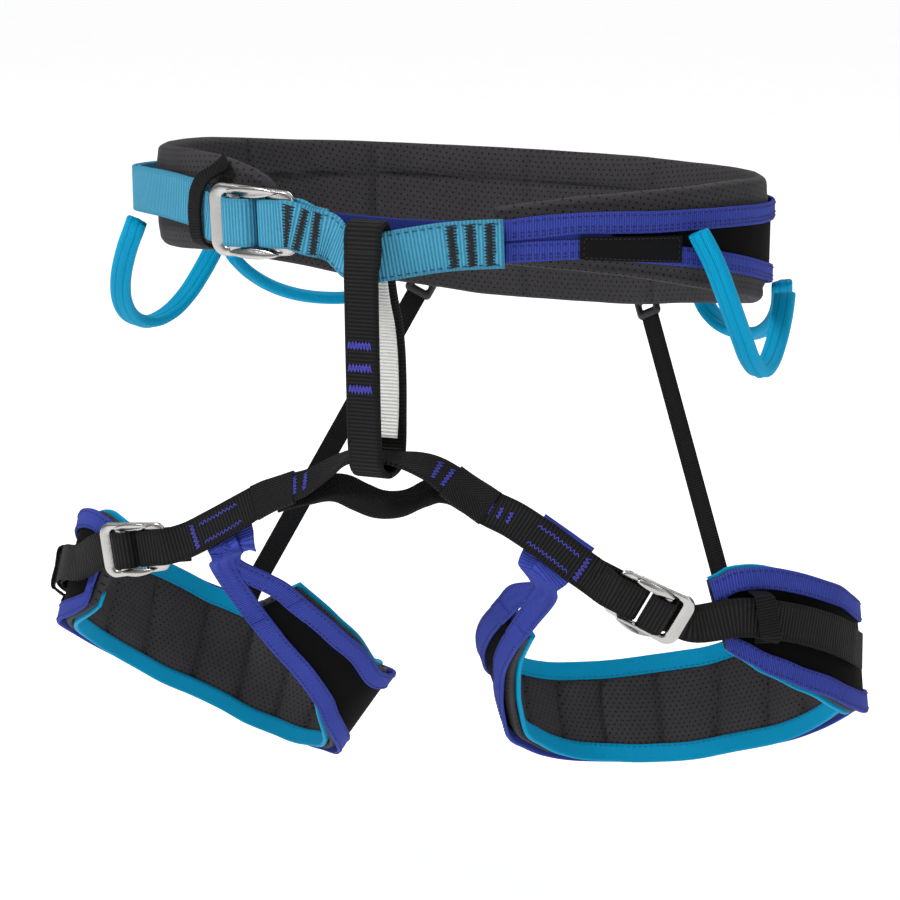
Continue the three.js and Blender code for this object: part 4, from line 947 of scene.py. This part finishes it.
# ----------------------------------------------------------- gear loops
def gear_loop(node, body, pts):
    P = catmull(np.array(pts, float), 10)
    n = len(P)
    T = unit(np.gradient(P, axis=0))
    # the flat side faces outward from the belt's axis
    c = P.mean(0)
    outw = unit(np.array([c[0], c[1], 0.0]))
    B = np.cross(T, outw)
    B = unit(B)
    N = np.cross(B, T)
    S = np.concatenate([[0], np.cumsum(np.linalg.norm(np.diff(P, axis=0), axis=1))])
    m = 28
    ang = np.linspace(0, 2 * math.pi, m, endpoint=False)
    # flattened sleeve with a soft ridge along its middle
    ca, sa = np.cos(ang), np.sin(ang)
    x = 4.7 * np.sign(ca) * np.abs(ca) ** 0.62
    y = 2.7 * np.sign(sa) * np.abs(sa) ** 0.7
    y = y * (1 + 0.16 * np.exp(-(x / 1.2) ** 2) - 0.1 * np.exp(-((np.abs(x) - 2.0) / 0.7) ** 2))
    scale = np.ones(n)
    k = 3
    for i in range(k):
        f = 0.72 + 0.28 * math.sin(math.pi / 2 * i / k)
        scale[i] = min(scale[i], f)
        scale[n - 1 - i] = min(scale[n - 1 - i], f)
    pts3 = P[:, None, :] + N[:, None, :] * (x[None, :, None] + 0.3) + B[:, None, :] * (y[None, :, None] * scale[:, None, None])
    uv = np.empty((n, m + 1, 2))
    uv[..., 0] = S[:, None]
    uv[..., 1] = np.append(x, x[0])[None, :]
    piece(loft(node + "_sleeve", pts3, uv, mat=M["gear"]), body, [node])


GEAR = {
    "gear_loop_front_left": ("front_left_gear_loop", [(124.6, -60.5, 14), (130.5, -58, 2), (135.6, -52, -14.6), (138.8, -42, -31), (140.5, -30, -44.5), (141.9, -18, -51.5),
        (142.6, -6, -50.5), (142.9, 6, -44), (142.6, 17, -35), (141.6, 26, -27)]),
    "gear_loop_rear_left": ("rear_left_gear_loop", [(135.8, 45, -26), (133.6, 54, -38), (127.5, 66, -49), (118, 78, -56.6), (106.5, 89, -59.6), (95.5, 97.5, -58),
        (88, 101.5, -52.5), (83.6, 102.5, -45)]),
    "gear_loop_front_right": ("front_right_gear_loop", [(-132.2, -50.6, 1.6), (-134.6, -49.3, -3), (-140.2, -45, -12), (-148.4, -36, -27.5), (-153.8, -25, -41), (-155.8, -12, -51), (-153.6, 2, -56),
        (-149.8, 15, -54), (-146, 26, -47.5), (-142.6, 35, -38.5), (-138.4, 41, -28)]),
    "gear_loop_rear_right": ("rear_right_gear_loop", [(-134.3, 52, -32.5), (-129.5, 61, -42), (-122.5, 71, -50), (-113.5, 81, -55.5), (-103, 90.5, -58.4), (-92, 98, -58.6),
        (-83.5, 102.6, -55), (-78, 104.6, -48.5)]),
}

# ------------------------------------------------------ belay loop, bridge
BELAY = [(-125.6, 10), (-125.4, 15.2), (-123.6, 18.8), (-120, 20.4), (-116.6, 19.2), (-114, 15.4), (-112.6, 8), (-111.4, -2), (-108.4, -12),
         (-104, -22), (-101.4, -34), (-100.6, -48), (-101.2, -62), (-102, -73), (-103.8, -79.4), (-108, -82.8), (-114, -83.6),
         (-120, -82.8), (-124, -79.4), (-125.6, -72), (-126, -60), (-126, -46), (-126, -28), (-125.8, -10)]


def belay_x(z):
    return 5.4 - 0.6 + (10 - z) * 0.014


def belay_and_bridge():
    X = np.array([1.0, 0, 0])
    loop = Ribbon([((belay_x(z), y, z), X) for y, z in BELAY], 6, closed=True)
    front = np.clip((-119 - loop.P[:, 1]) / 4, 0, 1) * np.clip((8 - loop.P[:, 2]) / 8, 0, 1)
    loop.P[:, 0] -= 0.9 * front
    ob = strap("belay_loop_web", loop, 16, 3.1, M["black"], width_scale=1 - 0.085 * front, selvedge=0.06)
    piece(ob, "belay", ["belay_loop"])
    i = np.argmin(np.linalg.norm(loop.P - np.array([belay_x(-46), -126, -46]), axis=1))
    out = 1 if loop.N[i][1] < 0 else -1
    seg = []
    sgn = 1 if loop.W[i][0] > 0 else -1
    for q, z in enumerate((-28.6, -37.4, -46.6)):
        s = loop.s_near((belay_x(z), -126, z))
        seg += bartack(loop, s, -5.6, 4.4, 1.9, 1.66, side=out, pitch=0.7, seed=30 + q)
    piece(threads("belay_loop_bartacks", seg, 0.3, M["t_indigo"]), "belay")
    liner = Ribbon([((belay_x(z) - 0.7, y, z), X) for y, z in [(-114.9, 7), (-113.8, -2.6), (-110.8, -13), (-106.5, -23), (-104, -34.4), (-103.2, -48), (-104, -61.4), (-106, -71)]], 10)
    piece(strap("belay_loop_liner_web", liner, 12.6, 1.1, M["white"]), "belay", ["belay_loop_liner"])
    upper = [((-42.2, -108.2, -99.1), (0, 0.68, 0.73)), ((-35, -108, -96), (-0.38, 0.7, 0.6)), ((-28.2, -108, -92.9), (-0.32, 0.8, 0.5)),
             ((-15.5, -110, -84.4), (-0.25, 0.92, 0.32)), ((-5.2, -113, -78.6), (-0.08, 0.99, 0.1)), ((5.4, -113.7, -77.2), (0, 1, 0.02)),
             ((16, -113, -77.8), (0.08, 0.99, 0.1)), ((27.8, -109, -81.6), (0.22, 0.88, 0.4)), ((35.3, -108, -86), (0.32, 0.75, 0.56)),
             ((43.4, -107.2, -91.4), (0, 0.68, 0.73))]
    lower = [((-42.6, -105.2, -101.6), (-0.42, 0.6, 0.68)), ((-35.6, -105.2, -99.4), (-0.38, 0.7, 0.6)), ((-28, -105.6, -97.4), (-0.3, 0.76, 0.56)),
             ((-18, -107.2, -94.4), (-0.16, 0.8, 0.6)), ((-12, -108, -94.2), (0, 0.8, 0.62)), ((-4, -109, -96.6), (0.06, 0.8, 0.6)),
             ((5, -109.4, -98.8), (0, 0.8, 0.6)), ((15, -109, -97.6), (-0.06, 0.8, 0.6)), ((24, -107.6, -93), (-0.02, 0.78, 0.62)),
             ((30, -105.6, -90.8), (0.1, 0.78, 0.6)), ((36.6, -104.4, -91.2), (0.3, 0.72, 0.6)), ((43.6, -104, -94.2), (0.4, 0.58, 0.68))]
    u = Ribbon(upper, 8)
    piece(strap("bridge_upper_web", u, 14.6, 1.9, M["chev"]), "belay", ["bridge_upper"])
    lw = Ribbon(lower, 8)
    piece(strap("bridge_lower_web", lw, 14.4, 1.7, M["chev"]), "belay", ["bridge_lower"])
    out = 1 if u.N[4][1] < 0 else -1
    seg = []
    for q, ds in enumerate((4.0, 9.5, 15.0)):
        seg += bartack(u, ds, -4.6, 4.6, 1.3, 1.0, side=out, pitch=0.8, seed=40 + q)
        seg += bartack(u, u.len - ds - 1.5, -4.6, 4.6, 1.3, 1.0, side=out, pitch=0.8, seed=50 + q)
    piece(threads("bridge_bartacks", seg, 0.24, M["t_indigo"]), "belay")


# -------------------------------------------------------------- leg loops
def leg_pad(name, band, height, s0, s1, channels, body, node, tape_start):
    P = band
    s = np.concatenate([np.linspace(s0, s0 + 3, 8)[:-1], np.linspace(s0 + 3, s1 - 3, 240), np.linspace(s1 - 3, s1, 8)[1:]])
    sec = pad_section(18, 11)
    v, k = sec[:, 0], sec[:, 1]
    H = height(s)
    mid = P(s, np.full_like(s, 0.5), 0.0)
    arc = np.concatenate([[0], np.cumsum(np.linalg.norm(np.diff(mid, axis=0), axis=1))])
    end = np.minimum(np.clip((s - s0) / 2.4, 0, 1), np.clip((s1 - s) / 2.4, 0, 1))
    endk = np.sqrt(np.clip(1 - (1 - end) ** 2, 0.03, 1))
    W = 0.01 + 0.98 * v[None, :] + 0 * s[:, None]
    dt, db = (1 - v)[None, :] * H[:, None], v[None, :] * H[:, None]
    edge = np.minimum(dt, db)
    inside = (k < 0)[None, :]
    ch = np.zeros(W.shape)
    near = np.full(W.shape, 99.0)
    for c, lean in channels:
        ac = np.interp(c, s, arc)
        d = arc[:, None] - ac - lean * (v[None, :] - 0.5) * H[:, None] - 0.9 * np.sin(v[None, :] * 5 + c)
        ch = np.maximum(ch, 2.3 * np.exp(-(d / 1.3) ** 2) * np.clip((edge - 5) / 4, 0, 1))
        near = np.minimum(near, np.abs(d))
    # the filling swells between the channels
    swell = 1.7 * (1 - np.exp(-(near / 7.0) ** 2)) * np.clip((edge - 6) / 8, 0, 1) ** 0.7
    crown = 0.6 * np.clip(edge / 14, 0, 1) ** 0.8
    half = 2.5 + np.where(inside, crown + swell - ch, 0.35 * crown)
    half = half * (1 - 0.35 * np.clip(1 - edge / 5.0, 0, 1)) * endk[:, None]
    O = k[None, :] * half
    pts = P(s[:, None] + 0 * v[None, :], W, O)
    uv = np.empty((len(s), len(sec) + 1, 2))
    uv[..., 0] = arc[:, None]
    uv[..., 1] = np.append(v, v[0])[None, :] * H[:, None] + np.where(np.append(k, k[0]) < 0, 0.9, 0)[None, :]
    ob = loft(name, pts, uv, mat=M["foam_leg"])
    piece(ob, body, [node])
    # channel threads
    seg = []
    for c, lean in channels:
        vv = np.linspace(0.2, 0.8, 16)
        Hc = float(height(np.array([c]))[0])
        dsdv = lean * Hc / (np.gradient(arc, s)[np.argmin(abs(s - c))])
        sc = c + (vv - 0.5) * dsdv + 0.9 * np.sin(vv * 5 + c) / (np.gradient(arc, s)[np.argmin(abs(s - c))])
        p = P(sc, 0.01 + 0.98 * vv, -1.35)
        nn = unit(P(sc, 0.01 + 0.98 * vv, -2.35) - p)
        seg += run_stitch(p, nn, 1.8, 0.9)
    piece(threads(name + "_threads", seg, 0.2, M["t_foam"]), body)
    return ob


def leg_strip(name, band, height, s0, s1, n, w0, w1, o0, o1, mat, body, replaces, r=0.6, bulge=0.0, nx=8):
    s = np.linspace(s0, s1, n)
    t = o1 - o0
    ref = 10.0
    rr = min(r, t * 0.48)
    sec = section_rect(ref, t, rr, nx)
    H = height(s)
    a, b = w0(s) * H, w1(s) * H
    w = b - a
    isedge = (np.abs(sec[:, 0]) > ref/2 - rr - 1e-6)[None, :]
    inner = sec[:, 0][None, :] * ((w[:, None] / 2 - rr) / (ref/2 - rr))
    outer = np.sign(sec[:, 0])[None, :] * (w[:, None] / 2 - ref/2 + np.abs(sec[:, 0])[None, :])
    X = np.where(isedge, outer, inner)
    Wf = ((a + b)[:, None] / 2 + X) / H[:, None]
    O = (o0 + o1) / 2 + sec[:, 1][None, :] + bulge * (1 - (2 * X / w[:, None]) ** 2)
    pts = band(s[:, None] + 0 * X, Wf, O)
    mid = band(s, np.full_like(s, 0.5), 0.0)
    arc = np.concatenate([[0], np.cumsum(np.linalg.norm(np.diff(mid, axis=0), axis=1))])
    uv = np.empty((n, len(sec) + 1, 2))
    uv[..., 0] = arc[:, None]
    uv[:, :-1, 1] = X
    uv[:, -1, 1] = X[:, 0]
    return piece(loft(name, pts, uv, mat=mat), body, replaces)


def leg(side, L, fr, s0, s_tape, s1, s_pad1, channels, arm_rows, strap_w, inner_rows, tail_rows, keeper, tab_c, tab_d, tab_w, tab_tail, tab_width):
    band, height = legband(L)
    body = side + "_leg"
    s_pad1 = s_pad1 - (3 if side == "left" else 8)
    leg_pad(f"leg_pad_{side}_fabric", band, height, s0, s_pad1, channels, body, f"leg_pad_{side}", s_tape)
    leg_strip(f"leg_outer_{side}_fabric", band, height, s0, s_pad1, 160, lambda s: 0.13 + 0*s, lambda s: 0.87 + 0*s, 3.2, 4.1, M["fabric"], body,
              [f"leg_outer_{side}"], 0.4, 0.2)
    tw = lambda s: np.minimum(0.42, 9.2 / height(s))
    s1t = s1 - 11 if side == "left" else s1 - 23
    leg_strip(f"leg_tape_upper_{side}_web", band, height, s_tape, s1t, 200, lambda s: 1 - tw(s), lambda s: 1 + 0.006 + 0*s, 4.1, 5.8, M["indigo"], body,
              [f"leg_tape_upper_{side}"], 0.75)
    leg_strip(f"leg_tape_lower_{side}_web", band, height, s_tape, s1t, 200, lambda s: -0.006 + 0*s, tw, 4.1, 5.8, M["indigo"], body,
              [f"leg_tape_lower_{side}"], 0.75)
    bw = lambda s: np.minimum(0.4, 8.0 / height(s))
    leg_strip(f"leg_binding_upper_{side}_tape", band, height, s0 + 1, s_pad1 - 1, 200, lambda s: 1 - bw(s), lambda s: 1.012 + 0*s, -4.3, -2.2, M["teal"], body,
              [f"leg_binding_upper_{side}"], 0.9, 0.0)
    leg_strip(f"leg_binding_lower_{side}_tape", band, height, s0 + 1, s_pad1 - 1, 200, lambda s: -0.012 + 0*s, bw, -4.3, -2.2, M["teal"], body,
              [f"leg_binding_lower_{side}"], 0.9, 0.0)
    # stitches along the tapes and the bindings; the piping, a roll of indigo fabric that closes each edge between tape
    # and binding, is not modelled
    seg, seg2 = [], []
    for w in (1.0, 0.0):
        ss = np.linspace(s_tape + 1, s1t - 6, 420)
        off = 1.3 / height(ss)
        for d in (1.3, 7.9):
            ww = (1 - d / height(ss)) if w else (d / height(ss))
            p = band(ss, ww, 5.86)
            nn = unit(band(ss, ww, 6.86) - p)
            seg += run_stitch(p, nn, 1.8, 0.9)
        st = np.linspace(s0 + 2, s_pad1 - 2, 380)
        ww = (1 - 6.9 / height(st)) if w else (6.9 / height(st))
        p = band(st, ww, -4.36)
        nn = unit(band(st, ww, -5.36) - p)
        seg2 += run_stitch(p, nn, 1.8, 0.9)
    piece(threads(f"leg_tape_{side}_stitches", seg, 0.26, M["t_indigo_dark"]), body)
    piece(threads(f"leg_binding_{side}_stitches", seg2, 0.18, M["t_teal"]), body)
    # buckle and webbing
    d = LEG_BUCKLE
    buckle(f"leg_buckle_{side}", fr, d, body, side + "_buckle_block", f"leg_buckle_{side}")
    R, t, BL = fr.row, d["t"], d["L"]
    rows = [R(BL + 9, -1.7), R(BL + 3, -1.6), R(28, -1.4), R(24, -1.35), R(21.1, -0.8), R(20.2, t/2), R(21.1, t + 0.8),
            R(24, t + 1.5), R(29, t + 1.6), R(BL, t + 1.5)] + arm_rows
    arm = Ribbon(rows, 8)
    piece(strap(f"leg_arm_{side}_web", arm, 15.6, 1.5, M["black"]), body, [f"leg_arm_{side}"])
    j = len(rows) - 3
    pj = np.array(rows[j][0])
    i = np.argmin(np.linalg.norm(arm.P - pj, axis=1))
    out = 1 if arm.N[i][1] < 0 else -1
    seg = []
    sj = arm.s_near(fr.P(BL, 0, t + 1.5))
    sc = arm.s_near(tab_c)
    seg += bartack(arm, sc - 13.5, -5.6, 5.2, 1.4, 0.82, side=out, pitch=0.9, seed=70)
    for q, v in enumerate((-4.4, 3.6)):
        seg += zigzag_row(arm, sc - 9.5, sc + 11, v, 0.85, 0.82, 1.0, side=out, seed=80 + q)
    for q, ds in enumerate((9.0, 13.5, 18.0) if side == "left" else ()):
        seg += bartack(arm, arm.len - ds, -2.6, 2.4, 1.0, 0.82, side=out, pitch=0.8, seed=90 + q)
    piece(threads(f"leg_arm_{side}_stitches", seg, 0.24, M["t_indigo"]), body)

    def sr(s, o):
        w = float(look(strap_w, s))
        p = band(np.array([s]), np.array([w]), o)[0]
        return (p, unit(band(np.array([s]), np.array([w + 0.1]), o)[0] - p))
    rows = [sr(s, o) for s, o in inner_rows] + [R(-2, -3.3), R(4, -3.2), R(10, -3.2), R(14.2, -2.9), R(16.9, -1.5), R(17.9, 1.6), R(17.5, 4.8),
            R(15.7, 6.3), R(12.4, 6.5), R(9.6, 5.9), R(8.4, 4.2), R(8.0, 1.6), R(6.8, -0.6), R(3.6, -1.4), R(-2, -1.4)] + [sr(s, o) for s, o in tail_rows]
    piece(strap(f"leg_strap_{side}_web", Ribbon(rows, 8), 16, 1.3, M["black"]), body, [f"leg_strap_{side}"])
    kr = []
    for s, w, o in keeper:
        a, b = band(np.array([s - 2.0]), np.array([w]), o)[0], band(np.array([s + 2.0]), np.array([w]), o)[0]
        kr.append((band(np.array([float(s)]), np.array([w]), o)[0], unit(b - a)))
    piece(strap(f"leg_keeper_{side}_elastic", Ribbon(kr, 6), 9.0, 1.2, M["elastic"]), body, [f"leg_keeper_{side}"])
    # front tab: both tapes run on past the end of the pad, gather at a neck and
    # spread flat behind the arm, where they are sewn down
    c, dd, w = np.array(tab_c, float), unit(tab_d), unit(tab_w)
    nrm = unit(np.cross(dd, w))
    if nrm[1] > 0:
        nrm = -nrm
    N = np.array(tab_tail, float)
    top = 9.2 if side == "left" else 5.5
    for q, (nm, low) in enumerate((("lower", True), ("upper", False))):
        rows, sg = [], (-1 if low else 1)
        for s in ((s1 - 17, s1 - 11, s1 - 6) if side == "left" else (s1 - 30, s1 - 24, s1 - 18)):
            H = float(height(np.array([float(s)]))[0])
            ww = min(0.21, 4.6 / H)
            ww = ww if low else 1 - ww
            P0 = band(np.array([float(s)]), np.array([ww]), 4.95)[0]
            P1 = band(np.array([float(s)]), np.array([ww + 0.1]), 4.95)[0]
            rows.append((P0, unit(P1 - P0)))
        e = -nrm * (1.7 * q)
        rows += [(N + dd * (1.3 * sg) + e, dd),
                 (c - w * 12.5 - nrm * 1.9 + e + dd * (3.0 * sg), dd),
                 (c - w * 8.6 - nrm * 2.0 + e + dd * (4.0 * sg), dd),
                 (c - w * 2 - nrm * 2.0 + e + dd * (4.4 * sg), dd),
                 (c + w * top - nrm * 2.0 + e + dd * (4.4 * sg), dd)]
        rb = Ribbon(rows, 8)
        sN, sE, sL = rb.s_near(rows[3][0]), rb.s_near(rows[5][0]), rb.len
        ws = np.interp(rb.S, [0, sN * 0.55, sN, sN + (sE - sN) * 0.5, sE, sL], [9.6, 10.6, 11.0, 12.2, 15.0, 16.0]) / tab_width
        pl = np.interp(rb.S, [0, sN * 0.6, sN, sE, sE + 3, sL], [0, 0.15, 0.4, 0.2, 0, 0])
        ob = strap(f"leg_front_tab_{side}_{nm}", rb, tab_width, 1.5, M["indigo"], width_scale=ws, nw=22, pleat=pl, folds=2.5)
        piece(ob, body, [f"leg_front_tab_{side}"] if low else ())
        i = np.argmin(np.linalg.norm(rb.P - rows[3][0], axis=1))
        o2 = 1 if np.dot(rb.N[i], nrm) > 0 else -1
        seg = []
        for v in (-3.6, 3.6):
            ss = np.linspace(2, sN - 3, 60)
            p = rb.at(ss, np.full(60, v), np.full(60, 0.85 * o2))
            nn = unit(rb.at(ss, np.full(60, v), np.full(60, 1.85 * o2)) - p)
            seg += run_stitch(p, nn, 1.8, 0.9)
        piece(threads(f"leg_front_tab_{side}_{nm}_stitches", seg, 0.19, M["t_indigo_dark"]), body)
    # indigo binding closes the front end of the pad between the tapes
    leg_strip(f"leg_end_binding_{side}", band, height, s0 + 0.2, s0 + 4.2, 10, lambda s: 0.02 + 0*s, lambda s: 0.98 + 0*s, 4.2, 5.5, M["indigo"], body,
              (), 0.6)
    return band, height, arm


def legs():
    fr = Frame3((-126.4, -103.6, -134.3), (0.974, -0.112, 0.199), (-0.19, 0.1, 0.975))
    fl = Frame3((133.8, -98.4, -139.6), (-0.86, -0.24, 0.45), (0.45, -0.05, 0.88))
    leg("right", LEG_R, fr, 22, 22, 333, 320,
        [(54, 0), (76, 0), (98, -0.05), (119.5, -0.05), (143, -0.12), (163.5, -0.08), (182.5, -0.1), (203, -0.1), (224, -0.15), (246, -0.15), (268, -0.1)],
        [((-84, -109.6, -123.8), (-0.36, 0.3, 0.85)), ((-73.1, -109.2, -117.6), (-0.45, 0.35, 0.8)), ((-63.4, -109, -111.6), (-0.47, 0.4, 0.76)),
         ((-56.4, -108.8, -107), (-0.46, 0.48, 0.72)), ((-49.5, -108.6, -102.6), (-0.36, 0.58, 0.72)), ((-43.6, -108.3, -99.8), (0, 0.68, 0.73))],
        [(30, 0.5), (60, 0.52), (100, 0.5)],
        [(96, 6.2), (86, 6.2), (74, 6.3), (60, 6.8), (46, 6.6), (34, 6.2)],
        [(34, 8.2), (46, 8.7), (60, 8.9), (74, 8.5), (84, 8.4)],
        [(67, 0.76, 5.9), (67, 0.745, 6.2), (67, 0.73, 8.8), (67, 0.7, 11.5), (67, 0.52, 11.8), (67, 0.34, 11.5), (67, 0.305, 8.8), (67, 0.28, 6.1), (67, 0.24, 5.7)],
        (-67.6, -109.05, -114.2), (0.86, 0.01, 0.51), (-0.47, 0.38, 0.78), (-72.4, -96.2, -137.0), 16)
    leg("left", LEG_L, fl, 26, 26.2, 327, 315,
        [(52, 0), (74, 0), (98, 0), (120, 0), (142, -0.05), (158.5, -0.05), (177.5, -0.1), (198, -0.08), (218.5, -0.12), (237, -0.2), (257, -0.3), (276, -0.3)],
        [((97, -106.8, -121.2), (0.44, 0.3, 0.85)), ((88, -107.2, -115.6), (0.46, 0.36, 0.8)), ((80.8, -107.4, -110.6), (0.47, 0.4, 0.78)),
         ((73, -107.6, -105.8), (0.46, 0.42, 0.78)), ((62, -107.4, -100), (0.44, 0.5, 0.74)), ((52, -107.3, -96.2), (0.36, 0.58, 0.72)), ((44.8, -107.2, -92.1), (0, 0.68, 0.73))],
        [(30, 0.5), (45, 0.54), (60, 0.55), (100, 0.52)],
        [(88, 6.2), (78, 6.2), (66, 6.3), (54, 6.6), (42, 7.4), (32, 8.2)],
        [(32, 10.2), (42, 9.6), (54, 8.8), (66, 8.4), (76, 8.3)],
        [(39, 0.775, 6.2), (39, 0.77, 7.0), (39, 0.765, 9.8), (39, 0.735, 12.6), (39, 0.55, 13.2), (39, 0.37, 12.6), (39, 0.335, 9.8), (39, 0.33, 7.0), (39, 0.3, 6.0)],
        (81, -107.4, -110.8), (-0.86, 0.03, 0.5), (0.46, 0.38, 0.78), (71.8, -95.5, -133.6), 16)


# ----------------------------------------------------------------- risers
def riser(side, top, bottom, wdir, sgn):
    top, bottom, wdir = np.array(top, float), np.array(bottom, float), unit(wdir)
    d = unit(bottom - top)
    mid = (top + bottom) / 2
    # upper half runs from the belt to the belay loop, lower half on to the leg
    for nm, a, b, ba, bb in (("upper", top + d * 7.6, mid, "waist", "belay"), ("lower", mid, bottom, "belay", side + "_leg")):
        rows = [(a + (b - a) * q, wdir) for q in np.linspace(0, 1, 8)]
        if nm == "lower":
            # the end turns down over the leg loop's upper tape and is sewn flat to it
            band, height = legband(LEG_R if side == "right" else LEG_L)
            ss = np.linspace(120, 200, 321)
            s = ss[np.argmin(np.linalg.norm(band(ss, 1.0, 6.9) - bottom, axis=1))]
            t = unit(band(s + 1, 0.8, 6.9) - band(s - 1, 0.8, 6.9))
            t = t * (1 if np.dot(t, wdir) > 0 else -1)
            h = float(height(s))
            rows += [(band(s, 1 - q / h, o), unit(wdir * (1 - f) + t * f)) for q, o, f in ((0.5, 7.0, 0.6), (4.5, 6.75, 1.0), (9.0, 6.65, 1.0))]
        ob = strap(f"riser_{side}_{nm}_elastic", Ribbon(rows, 4), 10, 1.4, M["elastic"])
        if nm == "upper":
            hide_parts(f"riser_{side}")
        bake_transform(ob)
    fr = Frame3(top + d * -2, d, wdir)
    outer = rounded_loop(0, -7, 11, 7, (2.6,) * 4, 6)
    inner = rounded_loop(3.9, -3.6, 6.6, 3.6, (1.1,) * 4, 6)
    rings = []
    for i in range(12):
        a = 2 * math.pi * i / 12
        w = 0.5 - 0.5 * math.cos(a)
        h = 1.35 * math.sin(a)
        loop = outer * (1 - w) + inner * w
        rings.append(np.array([fr.P(p[0], p[1], h) for p in loop]))
    pts = np.transpose(np.array(rings), (1, 0, 2))
    ob = loft(f"riser_hook_{side}_clip", pts, np.zeros((pts.shape[0] + 1, 13, 2)), closed_u=True, mat=M["plastic"])
    piece(ob, "waist", [f"riser_hook_{side}"])


def haul():
    X = (1.0, 0, 0)
    rows = [((0, y, z), X) for y, z in [(113.2, 6), (115.5, 9), (119.5, 8), (123.5, 0), (125.5, -14), (124.5, -28), (120, -35.5), (115.5, -36.5),
                                         (113.2, -33), (113.2, -22), (113.2, -8)]]
    rb = Ribbon(rows, 6, closed=True)
    piece(strap("haul_loop_web", rb, 12, 1.6, M["elastic"]), "haul", ["haul_loop"])


waist_belt()
waist_front()
for node, (body, pts) in GEAR.items():
    gear_loop(node, body, pts)
belay_and_bridge()
legs()


def joint_sleeve(side, leg_rows, bridge_rows):
    """stitched fold of webbing where an arm meets the bridge"""
    rows = [(np.array(p, float), d) for p, d in leg_rows + bridge_rows]
    rb = Ribbon(rows, 8)
    ob = strap(f"bridge_end_sleeve_{side}", rb, 16.4, 3.2, M["chev"])
    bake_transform(ob)


joint_sleeve("right", [((-52.0, -108.65, -104.2), (-0.4, 0.55, 0.72)), ((-47.5, -108.5, -101.6), (-0.3, 0.6, 0.73))],
             [((-42.9, -108.2, -99.4), (-0.15, 0.68, 0.73)), ((-38.6, -108.1, -97.6), (-0.28, 0.69, 0.66)), ((-34.0, -108, -95.5), (-0.37, 0.71, 0.6))])
joint_sleeve("left", [((52.6, -107.35, -96.6), (0.36, 0.58, 0.72)), ((48.4, -107.25, -94.2), (0.2, 0.63, 0.73))],
             [((44.1, -107.2, -91.8), (0.1, 0.68, 0.73)), ((39.6, -107.5, -89.0), (0.2, 0.72, 0.64)), ((35.4, -107.9, -86.1), (0.3, 0.75, 0.57))])
riser("right", (-54.5, 102.8, -48), (-127.4, 53.2, -199), (0.88, 0.35, -0.3), -1)
riser("left", (57.5, 102.4, -50), (117.4, 56.8, -196.5), (0.9, -0.35, 0.3), 1)
haul()

# ------------------------------------------------------------ floor, light
def stage():
    g = G("pale_floor")
    n = g.noise(g.obj(), 40.0, 2.0)
    g.b.inputs["Emission Color"].default_value = (1.0, 1.0, 1.0, 1.0)
    g.b.inputs["Emission Strength"].default_value = 0.46
    g.done(g.ramp(n, [(0.3, (0.80, 0.80, 0.80)), (0.7, (0.83, 0.83, 0.83))]), 0.95, spec=0.0)
    me = bpy.data.meshes.new("floor")
    z = -0.34
    me.from_pydata([(-90, -90, z), (90, -90, z), (90, 90, z), (-90, 90, z)], [], [[0, 1, 2, 3]])
    ob = bpy.data.objects.new("floor", me)
    me.materials.append(g.m)
    COLL.objects.link(ob)
    # a room that is bright overhead and darker round the sides
    w = bpy.data.worlds.new("studio")
    bpy.context.scene.world = w
    w.use_nodes = True
    nt = w.node_tree
    bg = nt.nodes["Background"]
    tc = nt.nodes.new("ShaderNodeTexCoord")
    sx = nt.nodes.new("ShaderNodeSeparateXYZ")
    nt.links.new(tc.outputs["Generated"], sx.inputs[0])
    rp = nt.nodes.new("ShaderNodeValToRGB")
    e = rp.color_ramp.elements
    e[0].position, e[0].color = 0.0, (0.2, 0.2, 0.21, 1)
    e[1].position, e[1].color = 1.0, (0.85, 0.85, 0.86, 1)
    m = e.new(0.3)
    m.color = (0.26, 0.26, 0.27, 1)
    m = e.new(0.62)
    m.color = (0.62, 0.62, 0.62, 1)
    nt.links.new(sx.outputs[2], rp.inputs[0])
    nt.links.new(rp.outputs[0], bg.inputs[0])
    bg.inputs[1].default_value = 1.0

    def area(name, loc, target, size, power, color=(1, 1, 1)):
        li = bpy.data.lights.new(name, "AREA")
        li.shape = "RECTANGLE"
        li.size, li.size_y = size
        li.energy = power
        li.color = color
        o = bpy.data.objects.new(name, li)
        o.location = loc
        dv = Vector(target) - Vector(loc)
        o.rotation_euler = dv.to_track_quat("-Z", "Y").to_euler()
        COLL.objects.link(o)
    area("key", (-1.0, -1.1, 1.45), (0, 0, -0.08), (0.5, 0.5), 25)
    area("fill", (1.5, -1.2, 0.5), (0, 0, -0.1), (0.5, 1.2), 4)
    area("back", (0.2, 1.6, 1.1), (0, 0, -0.08), (1.2, 0.6), 10)


stage()

# ------------------------------------------------------------------ camera
cam = bpy.data.cameras.new("camera")
co = bpy.data.objects.new("camera", cam)
COLL.objects.link(co)
az, el, dist = math.radians(20), math.radians(15), 1.2
back = Vector((math.sin(az) * math.cos(el), -math.cos(az) * math.cos(el), math.sin(el)))
target = Vector((-0.004, 0.0, -0.104))
co.location = target + back * dist
co.rotation_euler = (-back).to_track_quat("-Z", "Y").to_euler()
cam.sensor_width = 36.0
cam.sensor_fit = "HORIZONTAL"
cam.lens = 2652.0 / 900.0 * 36.0
cam.clip_start, cam.clip_end = 0.05, 30
bpy.context.scene.camera = co
bpy.context.scene.view_settings.view_transform = "Standard"
